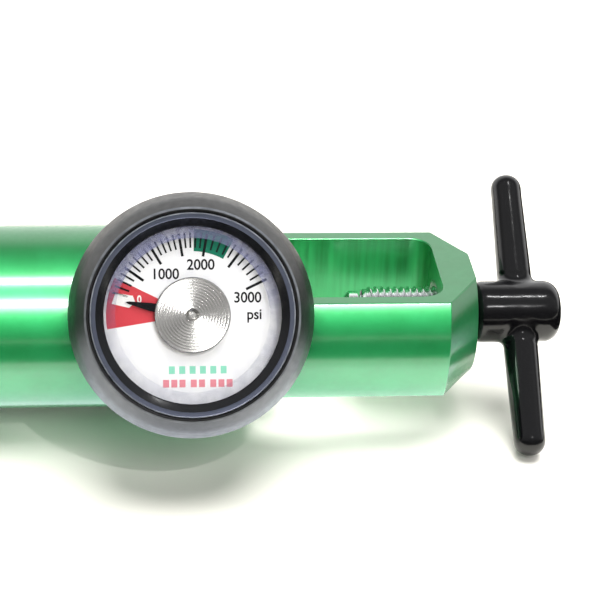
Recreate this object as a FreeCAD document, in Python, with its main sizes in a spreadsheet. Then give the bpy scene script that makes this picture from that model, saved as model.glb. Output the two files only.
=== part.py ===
"""Pin-index yoke regulator for a small oxygen cylinder, with its pressure gauge and flow selector.

Millimetres. +X runs along the barrel from the inlet seal to the T-handle, +Z is along the valve post
that the yoke closes on, and the origin is on the barrel's axis in the plane where the seal meets the
post. The gauge looks out at 30 degrees above -Y. Every turned piece is drawn with its own axis on X.
"""
import FreeCAD, Part
import math
import os

import Sketcher
from FreeCAD import Placement, Rotation, Vector

SIZES = {
    # Barrel and yoke, one bar of aluminium
    "barrel_radius": 20.5,
    "barrel_start": -74.0,
    "edge_break": 0.6,
    "yoke_end": 46.0,
    "nose_start": 38.7,
    "nose_radius": 13.3,
    "flat_height": 12.0,
    "seat_face": -2.4,
    "window_end": 38.0,
    "window_half_width": 13.5,
    "window_corner": 5.0,
    # Clamping screw and its T-handle
    "screw_radius": 6.0,
    "screw_pitch": 1.5,
    "screw_clearance": 0.05,
    "thread_depth": 0.9,
    "screw_start": 21.4,
    "tip_start": 17.5,
    "tip_radius": 5.0,
    "tip_length": 3.0,
    "tip_stem_radius": 2.5,
    "tip_stem_end": 28.5,
    "hub_start": 47.0,
    "hub_end": 66.9,
    "hub_radius": 7.05,
    "boss_radius": 5.6,
    "boss_end": 65.2,
    "bar_place": 57.5,
    "bar_half_length": 34.5,
    "bar_end_radius": 3.6,
    "bar_mid_radius": 4.0,
    "rod_radius": 2.8,
    "rod_half_length": 33.2,
    # Inlet
    "nipple_radius": 3.0,
    "nipple_collar": 3.4,
    "nipple_shank_radius": 4.0,
    "nipple_end": 2.8,
    "nipple_foot": -12.0,
    "nipple_bore": 1.6,
    "filter_radius": 2.6,
    "filter_length": 3.0,
    "seal_radius": 5.6,
    "seal_ring_radius": 7.0,
    "passage_radius": 1.2,
    "index_radius": 14.3,
    "index_pin_radius": 2.0,
    "index_shank_radius": 1.7,
    "index_pin_depth": 6.0,
    "index_pin_height": 6.0,
    # Pressure reducing stage
    "seat_end": -29.0,
    "seat_length": 3.0,
    "guide_radius": 6.0,
    "chamber_end": -42.0,
    "chamber_radius": 14.0,
    "stem_radius": 4.45,
    "stem_clearance": 0.05,
    "lift": 0.8,
    "piston_front": -51.0,
    "piston_length": 5.0,
    "piston_bore": 0.8,
    "ring_section": 0.88,
    "ring_land": 12.2,
    "ring_groove": 2.4,
    "piston_spring_radius": 8.5,
    "piston_wire": 0.9,
    # Relief valve, in the barrel's back
    "relief_place": -59.0,
    "relief_radius": 4.0,
    "relief_floor": 15.5,
    "relief_port": 1.5,
    "relief_vent": 1.0,
    "relief_cap_height": 1.3,
    "poppet_radius": 2.7,
    "poppet_length": 1.4,
    "poppet_stem": 1.1,
    "relief_spring_rim": 3.4,
    "relief_spring_bore": 1.2,
    "relief_spring_wall": 0.4,
    "relief_spring_height": 2.0,
    # Flow selector
    "plug_start": -72.0,
    "plug_length": 10.0,
    "shank_radius": 4.0,
    "shank_end": -66.0,
    "orifice_circle": 8.0,
    "disc_radius": 12.5,
    "disc_start": -75.3,
    "disc_gap": 0.1,
    "knob_start": -92.0,
    "knob_gap": 0.4,
    "knob_floor": -89.8,
    "knob_recess": 9.0,
    "flute_radius": 2.6,
    "flute_circle": 21.9,
    "flute_length": 10.5,
    "washer_radius": 8.0,
    "hex_start": -94.6,
    "hex_end": -90.4,
    "hex_across_flats": 12.0,
    "barb_start": -113.0,
    "barb_radius": 4.0,
    "barb_root": 3.1,
    "barb_pitch": 4.4,
    "barb_bore": 1.5,
    "ball_radius": 1.5,
    "ball_circle": 17.25,
    "ball_hole": 1.55,
    "ball_depth": 6.0,
    "detent_wire": 0.25,
    "detent_coil": 1.1,
    # Gauge, measured outwards from the barrel's axis
    "gauge_place": -18.0,
    "gauge_foot": 10.0,
    "gauge_port": 1.0,
    "gauge_flange": 8.0,
    "gauge_hub": 6.5,
    "gauge_hub_height": 6.0,
    "gauge_hub_floor": 4.0,
    "tube_ring_radius": 13.5,
    "tube_radius": 1.4,
    "tube_feed_radius": 1.0,
    "tube_feed_length": 7.0,
    "gauge_thread": 5.0,
    "gauge_back": 22.5,
    "case_wall": 1.0,
    "case_radius": 21.3,
    "case_end": 33.4,
    "dial_height": 32.4,
    "dial_thickness": 0.5,
    "lens_radius": 19.3,
    "lens_height": 34.9,
    "lens_edge": 35.7,
    "lens_top": 36.2,
    "bezel_top": 37.2,
    "bezel_mouth": 18.2,
    "bezel_slope": 20.0,
    "boot_back": 21.3,
    "boot_radius": 26.0,
    "boot_hole": 15.0,
    "boot_lip": 21.7,
    "boot_top": 37.4,
    "needle_height": 33.5,
    "needle_thickness": 0.3,
    "needle_length": 14.3,
    "arbor_radius": 0.6,
    "cap_radius": 7.9,
}

INDEX_ANGLE = 18.0       # each index pin's angle from the yoke's centre line, degrees
GAUGE_TILT = 60.0        # turn from +Z to the gauge's axis about X, degrees
BAR_ANGLE = 37.4         # the T-bar's angle above +Y, degrees
NEEDLE_ANGLE = 168.5     # the needle at zero pressure, anticlockwise from +X as read, degrees
FLUTES = 18
SETTINGS = 10
THREADS = 16
BARBS = 4


class Size(float):
    """A length that remembers the spreadsheet formula it comes from."""

    def __new__(cls, value, formula):
        size = super().__new__(cls, value)
        size.formula = formula
        return size

    @classmethod
    def of(cls, number):
        """The same number as a Size, so that sums with it keep their formula."""
        return number if isinstance(number, Size) else cls(number, formula(number))

    def joined(self, sign, other, value):
        return Size(value, f"({formula(self)} {sign} {formula(other)})")

    def __add__(self, other):
        return self.joined("+", other, float(self) + float(other))

    def __sub__(self, other):
        return self.joined("-", other, float(self) - float(other))

    def __mul__(self, other):
        return self.joined("*", other, float(self) * float(other))

    def __truediv__(self, other):
        return self.joined("/", other, float(self) / float(other))

    def __neg__(self):
        return Size(-float(self), f"(0 - {formula(self)})")


def formula(number):
    """The spreadsheet formula of a Size, or the plain number itself."""
    return number.formula if isinstance(number, Size) else f"({float(number):.6f})"


def make_sheet(doc):
    """Put the driving dimensions into the document's spreadsheet, one row each."""
    sheet = doc.addObject("Spreadsheet::Sheet", "sizes")
    for row, (name, value) in enumerate(SIZES.items(), start=1):
        sheet.set(f"A{row}", name)
        sheet.set(f"B{row}", str(value))
        sheet.setAlias(f"B{row}", name)
    doc.recompute()
    return {name: Size(value, f"sizes.{name}") for name, value in SIZES.items()}


doc = FreeCAD.newDocument("yoke_regulator")
s = make_sheet(doc)
pieces = []

ALONG_GAUGE = Placement(Vector(s["gauge_place"], 0, 0), Rotation(
    Vector(0, -math.sin(math.radians(GAUGE_TILT)), math.cos(math.radians(GAUGE_TILT))),
    Vector(1, 0, 0), Vector(), "XYZ"))
ALONG_RELIEF = Placement(Vector(s["relief_place"], 0, 0), Rotation(
    Vector(0, math.sin(math.radians(GAUGE_TILT)), -math.cos(math.radians(GAUGE_TILT))),
    Vector(1, 0, 0), Vector(), "XYZ"))
ALONG_BAR = Placement(Vector(s["bar_place"], 0, 0), Rotation(
    Vector(0, math.cos(math.radians(BAR_ANGLE)), math.sin(math.radians(BAR_ANGLE))),
    Vector(1, 0, 0), Vector(), "XYZ"))


# Small tools for drawing

def bind(thing, path, number):
    """Tie a property to the sheet when its size comes from there."""
    if isinstance(number, Size):
        thing.setExpression(path, formula(number))


def new_piece(name, place=None, driver=None):
    """A PartDesign body of the model; driver ties its place along X to the sheet."""
    body = doc.addObject("PartDesign::Body", name)
    body.Label = name
    if place is not None:
        body.Placement = place
    if driver is not None:
        bind(body, "Placement.Base.x", driver)
    pieces.append(body)
    return body


def sketch_on(body, role, offset=None):
    """An empty sketch on one of the body's own origin planes."""
    sketch = body.newObject("Sketcher::SketchObject", "sketch")
    plane = next(f for f in body.Origin.OriginFeatures if f.Role == role)
    sketch.AttachmentSupport = (plane, "")
    sketch.MapMode = "FlatFace"
    if offset is not None:
        sketch.AttachmentOffset = offset
    return sketch


def pin_point(sketch, edge, end, point):
    """Fix one end of a sketch edge at a place measured from the sketch's origin."""
    for kind, number in zip(("DistanceX", "DistanceY"), point):
        index = sketch.addConstraint(Sketcher.Constraint(kind, -1, 1, edge, end, float(number)))
        bind(sketch, f"Constraints[{index}]", number)


def outline(sketch, points):
    """A closed outline of straight edges."""
    first = sketch.GeometryCount
    spots = [Vector(float(a), float(b), 0) for a, b in points]
    count = len(spots)
    for i in range(count):
        sketch.addGeometry(Part.LineSegment(spots[i], spots[(i + 1) % count]), False)
    for i in range(count):
        following = first + (i + 1) % count
        sketch.addConstraint(Sketcher.Constraint("Coincident", first + i, 2, following, 1))
    for i, point in enumerate(points):
        pin_point(sketch, first + i, 1, point)


def circle(sketch, centre, radius):
    """A circle with its centre and radius tied to the sheet."""
    middle = Vector(float(centre[0]), float(centre[1]), 0)
    edge = sketch.addGeometry(Part.Circle(middle, Vector(0, 0, 1), float(radius)), False)
    pin_point(sketch, edge, 3, centre)
    index = sketch.addConstraint(Sketcher.Constraint("Radius", edge, float(radius)))
    bind(sketch, f"Constraints[{index}]", radius)


def feature(body, kind, sketch):
    """A PartDesign feature drawn from a sketch."""
    made = body.newObject(f"PartDesign::{kind}", kind.lower())
    made.Profile = sketch
    sketch.Visibility = False
    return made


def turned(body, points, kind="Revolution"):
    """Turn an outline of (place along the axis, radius) points about X, or groove with it."""
    sketch = sketch_on(body, "XZ_Plane")
    outline(sketch, points)
    made = feature(body, kind, sketch)
    made.ReferenceAxis = (sketch, ["H_Axis"])
    made.Angle = 360
    return made


def turned_piece(name, points, place=None, driver=None):
    """A whole sub-part that is one turning."""
    body = new_piece(name, place, driver)
    turned(body, points)
    return body


def tube(start, end, inner, outer):
    """The outline of a plain sleeve, washer or disc."""
    return [(start, inner), (start, outer), (end, outer), (end, inner)]


def across(place):
    """The offset that stands a sketch on the YZ plane at a place along X."""
    return Placement(Vector(0, 0, float(place)), Rotation())


def cut_holes(body, place, holes, depth, towards_plus_x=False):
    """Round holes (centre y, centre z, radius) sunk along X from a plane at place."""
    sketch = sketch_on(body, "YZ_Plane", across(place))
    bind(sketch, "AttachmentOffset.Base.z", place)
    for y, z, radius in holes:
        circle(sketch, (y, z), radius)
    pocket = feature(body, "Pocket", sketch)
    pocket.Reversed = towards_plus_x
    pocket.Length = float(depth)
    bind(pocket, "Length", depth)
    return pocket


def radial_hole(body, place, tilt, top, floor, radius):
    """A round hole square to X, from height top above the axis down to height floor."""
    turn = Rotation(Vector(1, 0, 0), tilt)
    sketch = sketch_on(body, "XY_Plane", Placement(turn.multVec(Vector(0, 0, float(top))), turn))
    circle(sketch, (place, 0), radius)
    pocket = feature(body, "Pocket", sketch)
    pocket.Length = float(top) - float(floor)
    return pocket


def spring(name, mean_radius, wire, start, end, turns, place=None, driver=None):
    """A round-wire compression spring whose outside fills start to end along the axis."""
    rise = end - start - wire * 2
    path = doc.addObject("Part::Helix", f"{name}_path")
    path.Radius = float(mean_radius)
    path.Pitch = float(rise) / turns
    path.Height = float(rise)
    bind(path, "Radius", mean_radius)
    bind(path, "Pitch", rise / turns)
    bind(path, "Height", rise)
    section = doc.addObject("Part::Circle", f"{name}_section")
    section.Radius = float(wire)
    bind(section, "Radius", wire)
    section.Placement = Placement(Vector(float(mean_radius), 0, 0), Rotation(Vector(1, 0, 0), 90))
    coil = doc.addObject("Part::Sweep", name)
    coil.Sections = [section]
    coil.Spine = (path, ["Edge1"])
    coil.Solid = True
    coil.Frenet = True
    coil.Label = name
    along = Placement(Vector(float(start) + float(wire), 0, 0), Rotation(Vector(0, 1, 0), 90))
    coil.Placement = place.multiply(along) if place is not None else along
    pieces.append(coil)


def rubber_ring(name, centre_place, mean_radius, section, place=None):
    """An O-ring standing in its groove."""
    ring = doc.addObject("Part::Torus", name)
    ring.Label = name
    ring.Radius1 = float(mean_radius)
    ring.Radius2 = float(section)
    bind(ring, "Radius1", mean_radius)
    bind(ring, "Radius2", section)
    along = Placement(Vector(float(centre_place), 0, 0), Rotation(Vector(0, 1, 0), 90))
    ring.Placement = place.multiply(along) if place is not None else along
    pieces.append(ring)


# The barrel and yoke

def make_housing():
    """Barrel and yoke from one bar: flats, valve-post window, stepped bores and ports."""
    body = new_piece("housing")
    start, end, radius = s["barrel_start"], s["yoke_end"], s["barrel_radius"]
    turned(body, [
        (start, 0), (start, radius - s["edge_break"]), (start + s["edge_break"], radius),
        (s["nose_start"], radius), (end, s["nose_radius"]), (end, 0)])
    cut_flats(body)
    cut_window(body)
    bore_from_the_ends(body)
    outside = radius + s["edge_break"]
    radial_hole(body, s["gauge_place"], GAUGE_TILT, outside, s["gauge_foot"], s["gauge_thread"])
    radial_hole(body, s["gauge_place"], GAUGE_TILT, s["gauge_foot"], 0, s["gauge_port"])
    radial_hole(body, s["relief_place"], GAUGE_TILT + 180, outside, s["relief_floor"],
                s["relief_radius"])
    radial_hole(body, s["relief_place"], GAUGE_TILT + 180, s["relief_floor"] + s["edge_break"],
                s["chamber_radius"] - s["edge_break"], s["relief_port"])
    pins = [(y, z, s["index_shank_radius"]) for y, z in index_spots()]
    cut_holes(body, s["seat_face"], pins, s["index_pin_depth"])
    cut_holes(body, start, [(0, s["ball_circle"], s["ball_hole"])], s["ball_depth"], towards_plus_x=True)


def index_spots():
    """Where the two index pins stand: on one circle, either side of the yoke's lower centre line."""
    angle = math.radians(INDEX_ANGLE)
    across_yoke = s["index_radius"] * math.sin(angle)
    down = -(s["index_radius"] * math.cos(angle))
    return [(-across_yoke, down), (across_yoke, down)]


def cut_flats(body):
    """Two parallel flats, from the seat face to the yoke's end."""
    sketch = sketch_on(body, "YZ_Plane", across(s["seat_face"]))
    bind(sketch, "AttachmentOffset.Base.z", s["seat_face"])
    wide = s["barrel_radius"] + 2
    for low, high in ((s["flat_height"], wide), (-wide, -s["flat_height"])):
        outline(sketch, [(-wide, low), (wide, low), (wide, high), (-wide, high)])
    pocket = feature(body, "Pocket", sketch)
    pocket.Reversed = True
    pocket.Length = float(s["yoke_end"] - s["seat_face"] + 1)
    bind(pocket, "Length", s["yoke_end"] - s["seat_face"] + 1)


def cut_window(body):
    """The window for the valve post, milled right through with rounded corners."""
    sketch = sketch_on(body, "XY_Plane")
    left, right = s["seat_face"], s["window_end"]
    half, corner = s["window_half_width"], s["window_corner"]
    sides = [
        ((left + corner, -half), (right - corner, -half)),
        ((right, -half + corner), (right, half - corner)),
        ((right - corner, half), (left + corner, half)),
        ((left, half - corner), (left, -half + corner))]
    centres = [(right - corner, -half + corner), (right - corner, half - corner),
               (left + corner, half - corner), (left + corner, -half + corner)]
    flat = [[Vector(float(a), float(b), 0) for a, b in side] for side in sides]
    for first, last in flat:
        sketch.addGeometry(Part.LineSegment(first, last), False)
    for i, centre in enumerate(centres):
        middle = Vector(float(centre[0]), float(centre[1]), 0)
        ring = Part.Circle(middle, Vector(0, 0, 1), float(corner))
        sweep = math.radians(-90 + 90 * i)
        sketch.addGeometry(Part.ArcOfCircle(ring, sweep, sweep + math.pi / 2), False)
    for i, (first, last) in enumerate(sides):
        pin_point(sketch, i, 1, first)
        pin_point(sketch, i, 2, last)
        arc = 4 + i
        sketch.addConstraint(Sketcher.Constraint("Coincident", i, 2, arc, 1))
        sketch.addConstraint(Sketcher.Constraint("Coincident", arc, 2, (i + 1) % 4, 1))
        index = sketch.addConstraint(Sketcher.Constraint("Radius", arc, float(corner)))
        bind(sketch, f"Constraints[{index}]", corner)
    pocket = feature(body, "Pocket", sketch)
    pocket.Type = "ThroughAll"
    pocket.Midplane = True


def bore_from_the_ends(body):
    """Stepped bores on the barrel's axis, and the countersunk hole for the clamping screw."""
    nipple, passage = s["nipple_shank_radius"], s["passage_radius"]
    turned(body, [
        (s["seat_face"] + 1, 0), (s["seat_face"] + 1, nipple), (s["nipple_foot"], nipple),
        (s["nipple_foot"], passage), (s["seat_end"], passage), (s["seat_end"], s["guide_radius"]),
        (s["chamber_end"], s["guide_radius"]), (s["chamber_end"], s["chamber_radius"]),
        (s["barrel_start"] - 1, s["chamber_radius"]), (s["barrel_start"] - 1, 0)], "Groove")
    hole = s["screw_radius"] + s["screw_clearance"]
    inside, outside = s["window_end"], s["yoke_end"]
    turned(body, [
        (inside - 1, 0), (inside - 1, hole + 1.5), (inside, hole + 1.5), (inside + 1.5, hole),
        (outside - 0.8, hole), (outside, hole + 0.8), (outside + 1, hole + 0.8), (outside + 1, 0)],
        "Groove")


# Inlet: nipple, filter, seal and the two index pins

def make_inlet():
    """The brass nipple and its filter, the bonded seal round it, and the index pins."""
    foot, tip, bore = s["nipple_foot"], s["nipple_end"], s["nipple_bore"]
    filter_end = foot + s["filter_length"]
    turned_piece("inlet_nipple", [
        (foot, s["filter_radius"]), (foot, s["nipple_shank_radius"]),
        (s["seat_face"], s["nipple_shank_radius"]), (s["seat_face"], s["nipple_collar"]),
        (0, s["nipple_collar"]), (0, s["nipple_radius"]),
        (tip - 0.6, s["nipple_radius"]), (tip, s["nipple_radius"] - 0.6), (tip, bore),
        (filter_end, bore), (filter_end, s["filter_radius"])])
    turned_piece("inlet_filter", tube(foot, filter_end, 0, s["filter_radius"]))
    turned_piece("seal_rubber", tube(s["seat_face"], 0, s["nipple_collar"] + 0.05, s["seal_radius"]))
    turned_piece("seal_ring", tube(s["seat_face"], -0.4, s["seal_radius"], s["seal_ring_radius"]))
    for number, (y, z) in enumerate(index_spots(), start=1):
        pin = new_piece(f"index_pin_{number}", Placement(Vector(0, float(y), float(z)), Rotation()))
        bind(pin, "Placement.Base.y", y)
        bind(pin, "Placement.Base.z", z)
        back = s["seat_face"] - s["index_pin_depth"]
        front, radius = s["seat_face"] + s["index_pin_height"], s["index_pin_radius"]
        shank = s["index_shank_radius"]
        turned(pin, [(back, 0), (back, shank), (s["seat_face"], shank), (s["seat_face"], radius),
                     (front - 0.4, radius), (front, radius - 0.4), (front, 0)])


# Pressure reducing stage

def make_reducer():
    """Seat, stem guide, piston with its ring and the spring that lifts it off the seat."""
    seat_back = s["seat_end"] - s["seat_length"]
    turned_piece("valve_seat", tube(seat_back, s["seat_end"], s["passage_radius"], s["guide_radius"]))
    turned_piece("stem_guide", tube(
        s["chamber_end"], seat_back, s["stem_radius"] + s["stem_clearance"], s["guide_radius"]))
    front, back = s["piston_front"], s["piston_front"] - s["piston_length"]
    rim, land = s["chamber_radius"] - s["stem_clearance"], s["ring_land"]
    middle = (front + back) / 2
    low, high = middle - s["ring_groove"] / 2, middle + s["ring_groove"] / 2
    turned_piece("piston", [
        (back, s["piston_bore"]), (back, rim), (low, rim), (low, land), (high, land), (high, rim),
        (front, rim), (front, s["stem_radius"]), (seat_back - s["lift"], s["stem_radius"]),
        (seat_back - s["lift"], s["piston_bore"])])
    rubber_ring("piston_ring", middle, s["ring_land"] + s["ring_section"] + 0.02, s["ring_section"])
    spring("piston_spring", s["piston_spring_radius"], s["piston_wire"], front, s["chamber_end"], 3)


def make_relief():
    """Relief valve: a poppet over the port, held by a pair of coned springs under a vented cap."""
    floor, driver = s["relief_floor"], s["relief_place"]
    foot = floor + s["poppet_length"]
    top = foot + s["relief_spring_height"]
    stem = s["relief_port"] - 0.1
    turned_piece("relief_poppet", [
        (floor - s["poppet_stem"], 0), (floor - s["poppet_stem"], stem),
        (floor + s["stem_clearance"], stem), (floor + s["stem_clearance"], s["poppet_radius"]),
        (foot, s["poppet_radius"]), (foot, 0)], ALONG_RELIEF, driver)
    bore, rim, wall = s["relief_spring_bore"], s["relief_spring_rim"], s["relief_spring_wall"]
    middle, flank = (foot + top) / 2, 0.8
    turned_piece("relief_spring", [
        (foot, bore), (foot + flank, rim), (top - flank, rim), (top, bore), (top - wall, bore),
        (middle, bore + (middle - foot - wall) * (rim - bore) / flank), (foot + wall, bore)],
        ALONG_RELIEF, driver)
    turned_piece("relief_cap", tube(top, top + s["relief_cap_height"], s["relief_vent"],
                                    s["relief_radius"]), ALONG_RELIEF, driver)


# Flow selector

def make_selector():
    """Fixed plug, turning orifice disc and knob, outlet barb that holds them, and the detent."""
    start, end, land = s["plug_start"], s["plug_start"] + s["plug_length"], s["ring_land"]
    rim, shank = s["chamber_radius"], s["shank_radius"]
    low = start + 3.4
    plug = turned_piece("selector_plug", [
        (start, shank), (start, rim), (low, rim), (low, land), (low + s["ring_groove"], land),
        (low + s["ring_groove"], rim), (end, rim), (end, 0), (s["shank_end"], 0),
        (s["shank_end"], shank)])
    cut_holes(plug, end, [(0, s["orifice_circle"], 1.2)], s["plug_length"])
    rubber_ring("plug_ring", low + s["ring_groove"] / 2, land + s["ring_section"] + 0.02,
                s["ring_section"])
    make_orifice_disc()
    make_knob()
    turned_piece("thrust_washer", tube(
        s["hex_end"], s["knob_floor"] - 0.05, shank + 0.06, s["washer_radius"]))
    make_barb()
    ball = doc.addObject("Part::Sphere", "detent_ball")
    ball.Label = "detent_ball"
    ball.Radius = float(s["ball_radius"])
    bind(ball, "Radius", s["ball_radius"])
    ball_place = s["barrel_start"] + s["ball_radius"] - 0.35
    ball.Placement = Placement(Vector(float(ball_place), 0, float(s["ball_circle"])), Rotation())
    pieces.append(ball)
    spring("detent_spring", s["detent_coil"], s["detent_wire"], ball_place + s["ball_radius"],
           s["barrel_start"] + s["ball_depth"], 3,
           Placement(Vector(0, 0, float(s["ball_circle"])), Rotation()))


def make_orifice_disc():
    """Brass disc with one metering hole for each setting, on one circle."""
    bore = s["shank_radius"] + 0.06
    disc = turned_piece("orifice_disc", tube(
        s["disc_start"], s["plug_start"] - s["disc_gap"], bore, s["disc_radius"]))
    hole = cut_holes(disc, s["plug_start"], [(0, s["orifice_circle"], 0.5)], 5.0)
    repeat_round(disc, hole, SETTINGS)


def repeat_round(body, cut, count):
    """Repeat a cut evenly round X, and end the body on the pattern."""
    pattern = body.newObject("PartDesign::PolarPattern", "pattern")
    pattern.Originals = [cut]
    pattern.Axis = (cut.Profile[0], ["N_Axis"])
    pattern.Angle = 360
    pattern.Occurrences = count
    body.Tip = pattern


def make_knob():
    """The flow knob: plain skirt for the numbers, fluted grip, recess for the outlet's hexagon."""
    back, face = s["knob_start"], s["barrel_start"] - s["knob_gap"]
    bore, radius = s["shank_radius"] + 0.06, s["barrel_radius"]
    knob = turned_piece("knob", [
        (back, s["knob_recess"]), (back, radius - 2), (back + 0.6, radius - 0.8),
        (back + 1.8, radius), (face, radius), (face, s["disc_radius"]),
        (s["disc_start"], s["disc_radius"]), (s["disc_start"], bore), (s["knob_floor"], bore),
        (s["knob_floor"], s["knob_recess"])])
    flute = cut_holes(knob, back + s["flute_length"], [(0, s["flute_circle"], s["flute_radius"])],
                      s["flute_length"] + 1)
    repeat_round(knob, flute, FLUTES)


def make_barb():
    """Outlet barb with its hexagon, screwed into the plug through the knob."""
    shank, bore, root = s["shank_radius"], s["barb_bore"], s["barb_root"]
    points = [(s["shank_end"], 0), (s["shank_end"], shank), (s["hex_start"] + 1, shank)]
    for number in range(BARBS):
        crest = s["hex_start"] - s["barb_pitch"] * number
        points += [(crest, root), (crest - 1.2, root), (crest - 1.2, s["barb_radius"])]
    end = s["barb_start"]
    points += [(end, root - 0.5), (end, bore), (s["disc_start"], bore), (s["disc_start"], 0)]
    body = new_piece("outlet_barb")
    turned(body, points)
    sketch = sketch_on(body, "YZ_Plane", across(s["hex_start"]))
    bind(sketch, "AttachmentOffset.Base.z", s["hex_start"])
    corner = s["hex_across_flats"] / math.sqrt(3)
    turns = [math.radians(60 * i) for i in range(6)]
    outline(sketch, [(corner * math.cos(turn), corner * math.sin(turn)) for turn in turns])
    circle(sketch, (0, 0), bore)
    pad = feature(body, "Pad", sketch)
    pad.Length = float(s["hex_end"] - s["hex_start"])
    bind(pad, "Length", s["hex_end"] - s["hex_start"])


# Clamping screw and T-handle

def make_clamp():
    """Swivelling tip, threaded screw, cross rod and the dipped vinyl cover of the handle."""
    start, length, stem = s["tip_start"], s["tip_length"], s["tip_stem_radius"]
    turned_piece("screw_tip", [
        (start, 0), (start, s["tip_radius"] - 1.2), (start + 0.8, s["tip_radius"]),
        (start + length, s["tip_radius"]), (start + length, stem), (s["tip_stem_end"], stem),
        (s["tip_stem_end"], 0)])
    make_screw()
    rod = turned_piece("handle_rod", tube(-s["rod_half_length"], s["rod_half_length"], 0, s["rod_radius"]),
                       ALONG_BAR, s["bar_place"])
    make_cover(rod)


def make_screw():
    """The screw: ring grooves at the thread's pitch, a socket for the tip and a plain boss."""
    first, crest = s["screw_start"], s["screw_radius"]
    socket, socket_end = s["tip_stem_radius"] + 0.05, s["tip_stem_end"] + 0.1
    screw = new_piece("screw")
    turned(screw, [
        (first, socket), (first, crest - s["thread_depth"]), (first + 0.4, crest),
        (s["hub_start"], crest), (s["hub_start"], s["boss_radius"]),
        (s["boss_end"], s["boss_radius"]), (s["boss_end"], 0), (socket_end, 0), (socket_end, socket)])
    root, groove_start = crest - s["thread_depth"], first + 0.6
    groove = turned(screw, [
        (groove_start, crest + 0.1), (groove_start + 0.62, root),
        (groove_start + 0.82, root), (groove_start + 1.44, crest + 0.1)], "Groove")
    pattern = screw.newObject("PartDesign::LinearPattern", "threads")
    pattern.Originals = [groove]
    pattern.Direction = (groove.Profile[0], ["H_Axis"])
    pattern.Length = float(s["screw_pitch"] * (THREADS - 1))
    bind(pattern, "Length", s["screw_pitch"] * (THREADS - 1))
    pattern.Occurrences = THREADS
    screw.Tip = pattern
    cross_hole = radial_hole(screw, s["bar_place"], BAR_ANGLE - 90, 10.0, -10.0, s["rod_radius"])
    screw.Tip = cross_hole


def make_cover(rod):
    """Dipped vinyl over the boss and the cross rod, domed at its three ends."""
    end, radius = s["hub_end"], s["hub_radius"]
    hub = new_piece("cover_hub")
    turned(hub, [
        (s["hub_start"], 0), (s["hub_start"], radius - 0.7), (s["hub_start"] + 0.7, radius),
        (end - 2.4, radius), (end - 0.7, radius - 1), (end, radius - 2.8), (end, 0)])
    bar = new_piece("cover_bar", ALONG_BAR, s["bar_place"])
    half, thin, thick = s["bar_half_length"], s["bar_end_radius"], s["bar_mid_radius"]
    turned(bar, [
        (-half, 0), (-half, thin - 2), (-half + 0.9, thin - 0.6), (-half + 2.8, thin), (-8, thick),
        (8, thick), (half - 2.8, thin), (half - 0.9, thin - 0.6), (half, thin - 2), (half, 0)])
    boss = new_piece("cover_boss")
    turned(boss, tube(s["hub_start"] - 1, s["boss_end"], 0, s["boss_radius"]))
    for tool in (hub, bar, boss):
        pieces.remove(tool)
    skin = doc.addObject("Part::MultiFuse", "cover_skin")
    skin.Shapes = [hub, bar]
    core = doc.addObject("Part::MultiFuse", "cover_core")
    core.Shapes = [boss, rod]
    cover = doc.addObject("Part::Cut", "handle_cover")
    cover.Base = skin
    cover.Tool = core
    cover.Label = "handle_cover"
    pieces.append(cover)


# Gauge

def gauge_piece(name, points):
    """A turned piece of the gauge; its outline's heights are measured from the barrel's axis."""
    return turned_piece(name, points, ALONG_GAUGE, s["gauge_place"])


def make_gauge():
    """Stem, coiled pressure tube, case, dial, lens, bezel and the rubber boot round them."""
    back, floor, thread = s["gauge_back"], s["gauge_back"] + s["case_wall"], s["gauge_thread"]
    arbor_hole = s["arbor_radius"] + 0.05
    flange, hub, port = s["gauge_flange"], s["gauge_hub"], s["gauge_port"]
    hub_top, hub_floor = floor + s["gauge_hub_height"], floor + s["gauge_hub_floor"]
    gauge_piece("gauge_stem", [
        (s["gauge_foot"], port), (s["gauge_foot"], thread), (s["boot_back"], thread),
        (s["boot_back"], flange), (back, flange), (back, thread), (floor, thread), (floor, hub),
        (hub_top, hub), (hub_top, arbor_hole), (hub_floor, arbor_hole), (hub_floor, 0),
        (hub_floor - 1.5, 0), (hub_floor - 1.5, port)])
    outer, inner = s["case_radius"], s["case_radius"] - s["case_wall"]
    gauge_piece("gauge_case", [
        (back, thread), (back, outer), (s["case_end"], outer), (s["case_end"], inner),
        (floor, inner), (floor, thread)])
    make_pressure_tube(hub_floor)
    dial = s["dial_height"] + s["dial_thickness"]
    gauge_piece("dial_plate", tube(s["dial_height"], dial, 0.9, inner))
    gauge_piece("lens_spacer", tube(dial, s["lens_height"], s["lens_radius"] - 0.9, s["lens_radius"]))
    gauge_piece("gauge_lens", [
        (s["lens_height"], 0), (s["lens_height"], s["lens_radius"]), (s["lens_edge"], s["lens_radius"]),
        (s["lens_edge"], s["bezel_mouth"] - 0.2), (s["lens_top"], s["bezel_mouth"] - 2.2),
        (s["lens_top"], 0)])
    gauge_piece("bezel_ring", [
        (s["case_end"], s["lens_radius"]), (s["case_end"], outer), (s["bezel_top"] - 0.3, outer),
        (s["bezel_top"], outer - 0.3), (s["bezel_top"], s["bezel_slope"]),
        (s["lens_edge"] + 0.6, s["bezel_mouth"]), (s["lens_edge"], s["bezel_mouth"]),
        (s["lens_edge"], s["lens_radius"])])
    make_boot()


def make_boot():
    """Rubber boot: a cup round the case, bulged at the middle and rounded in to the bezel."""
    low, high, wide, hole = s["boot_back"], s["boot_top"], s["boot_radius"], s["boot_hole"]
    gauge_piece("gauge_boot", [
        (low, hole), (low, wide - 1.4), (low + 0.5, wide - 0.6), (low + 2.2, wide),
        (low + 7.0, wide), (low + 10.0, wide - 0.8), (low + 13.0, wide - 2.1), (high - 1.0, wide - 3.6),
        (high - 0.2, s["boot_lip"] + 0.2), (high, s["boot_lip"]), (high - 0.4, s["case_radius"]),
        (s["gauge_back"], s["case_radius"]), (s["gauge_back"], hole)])


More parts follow.
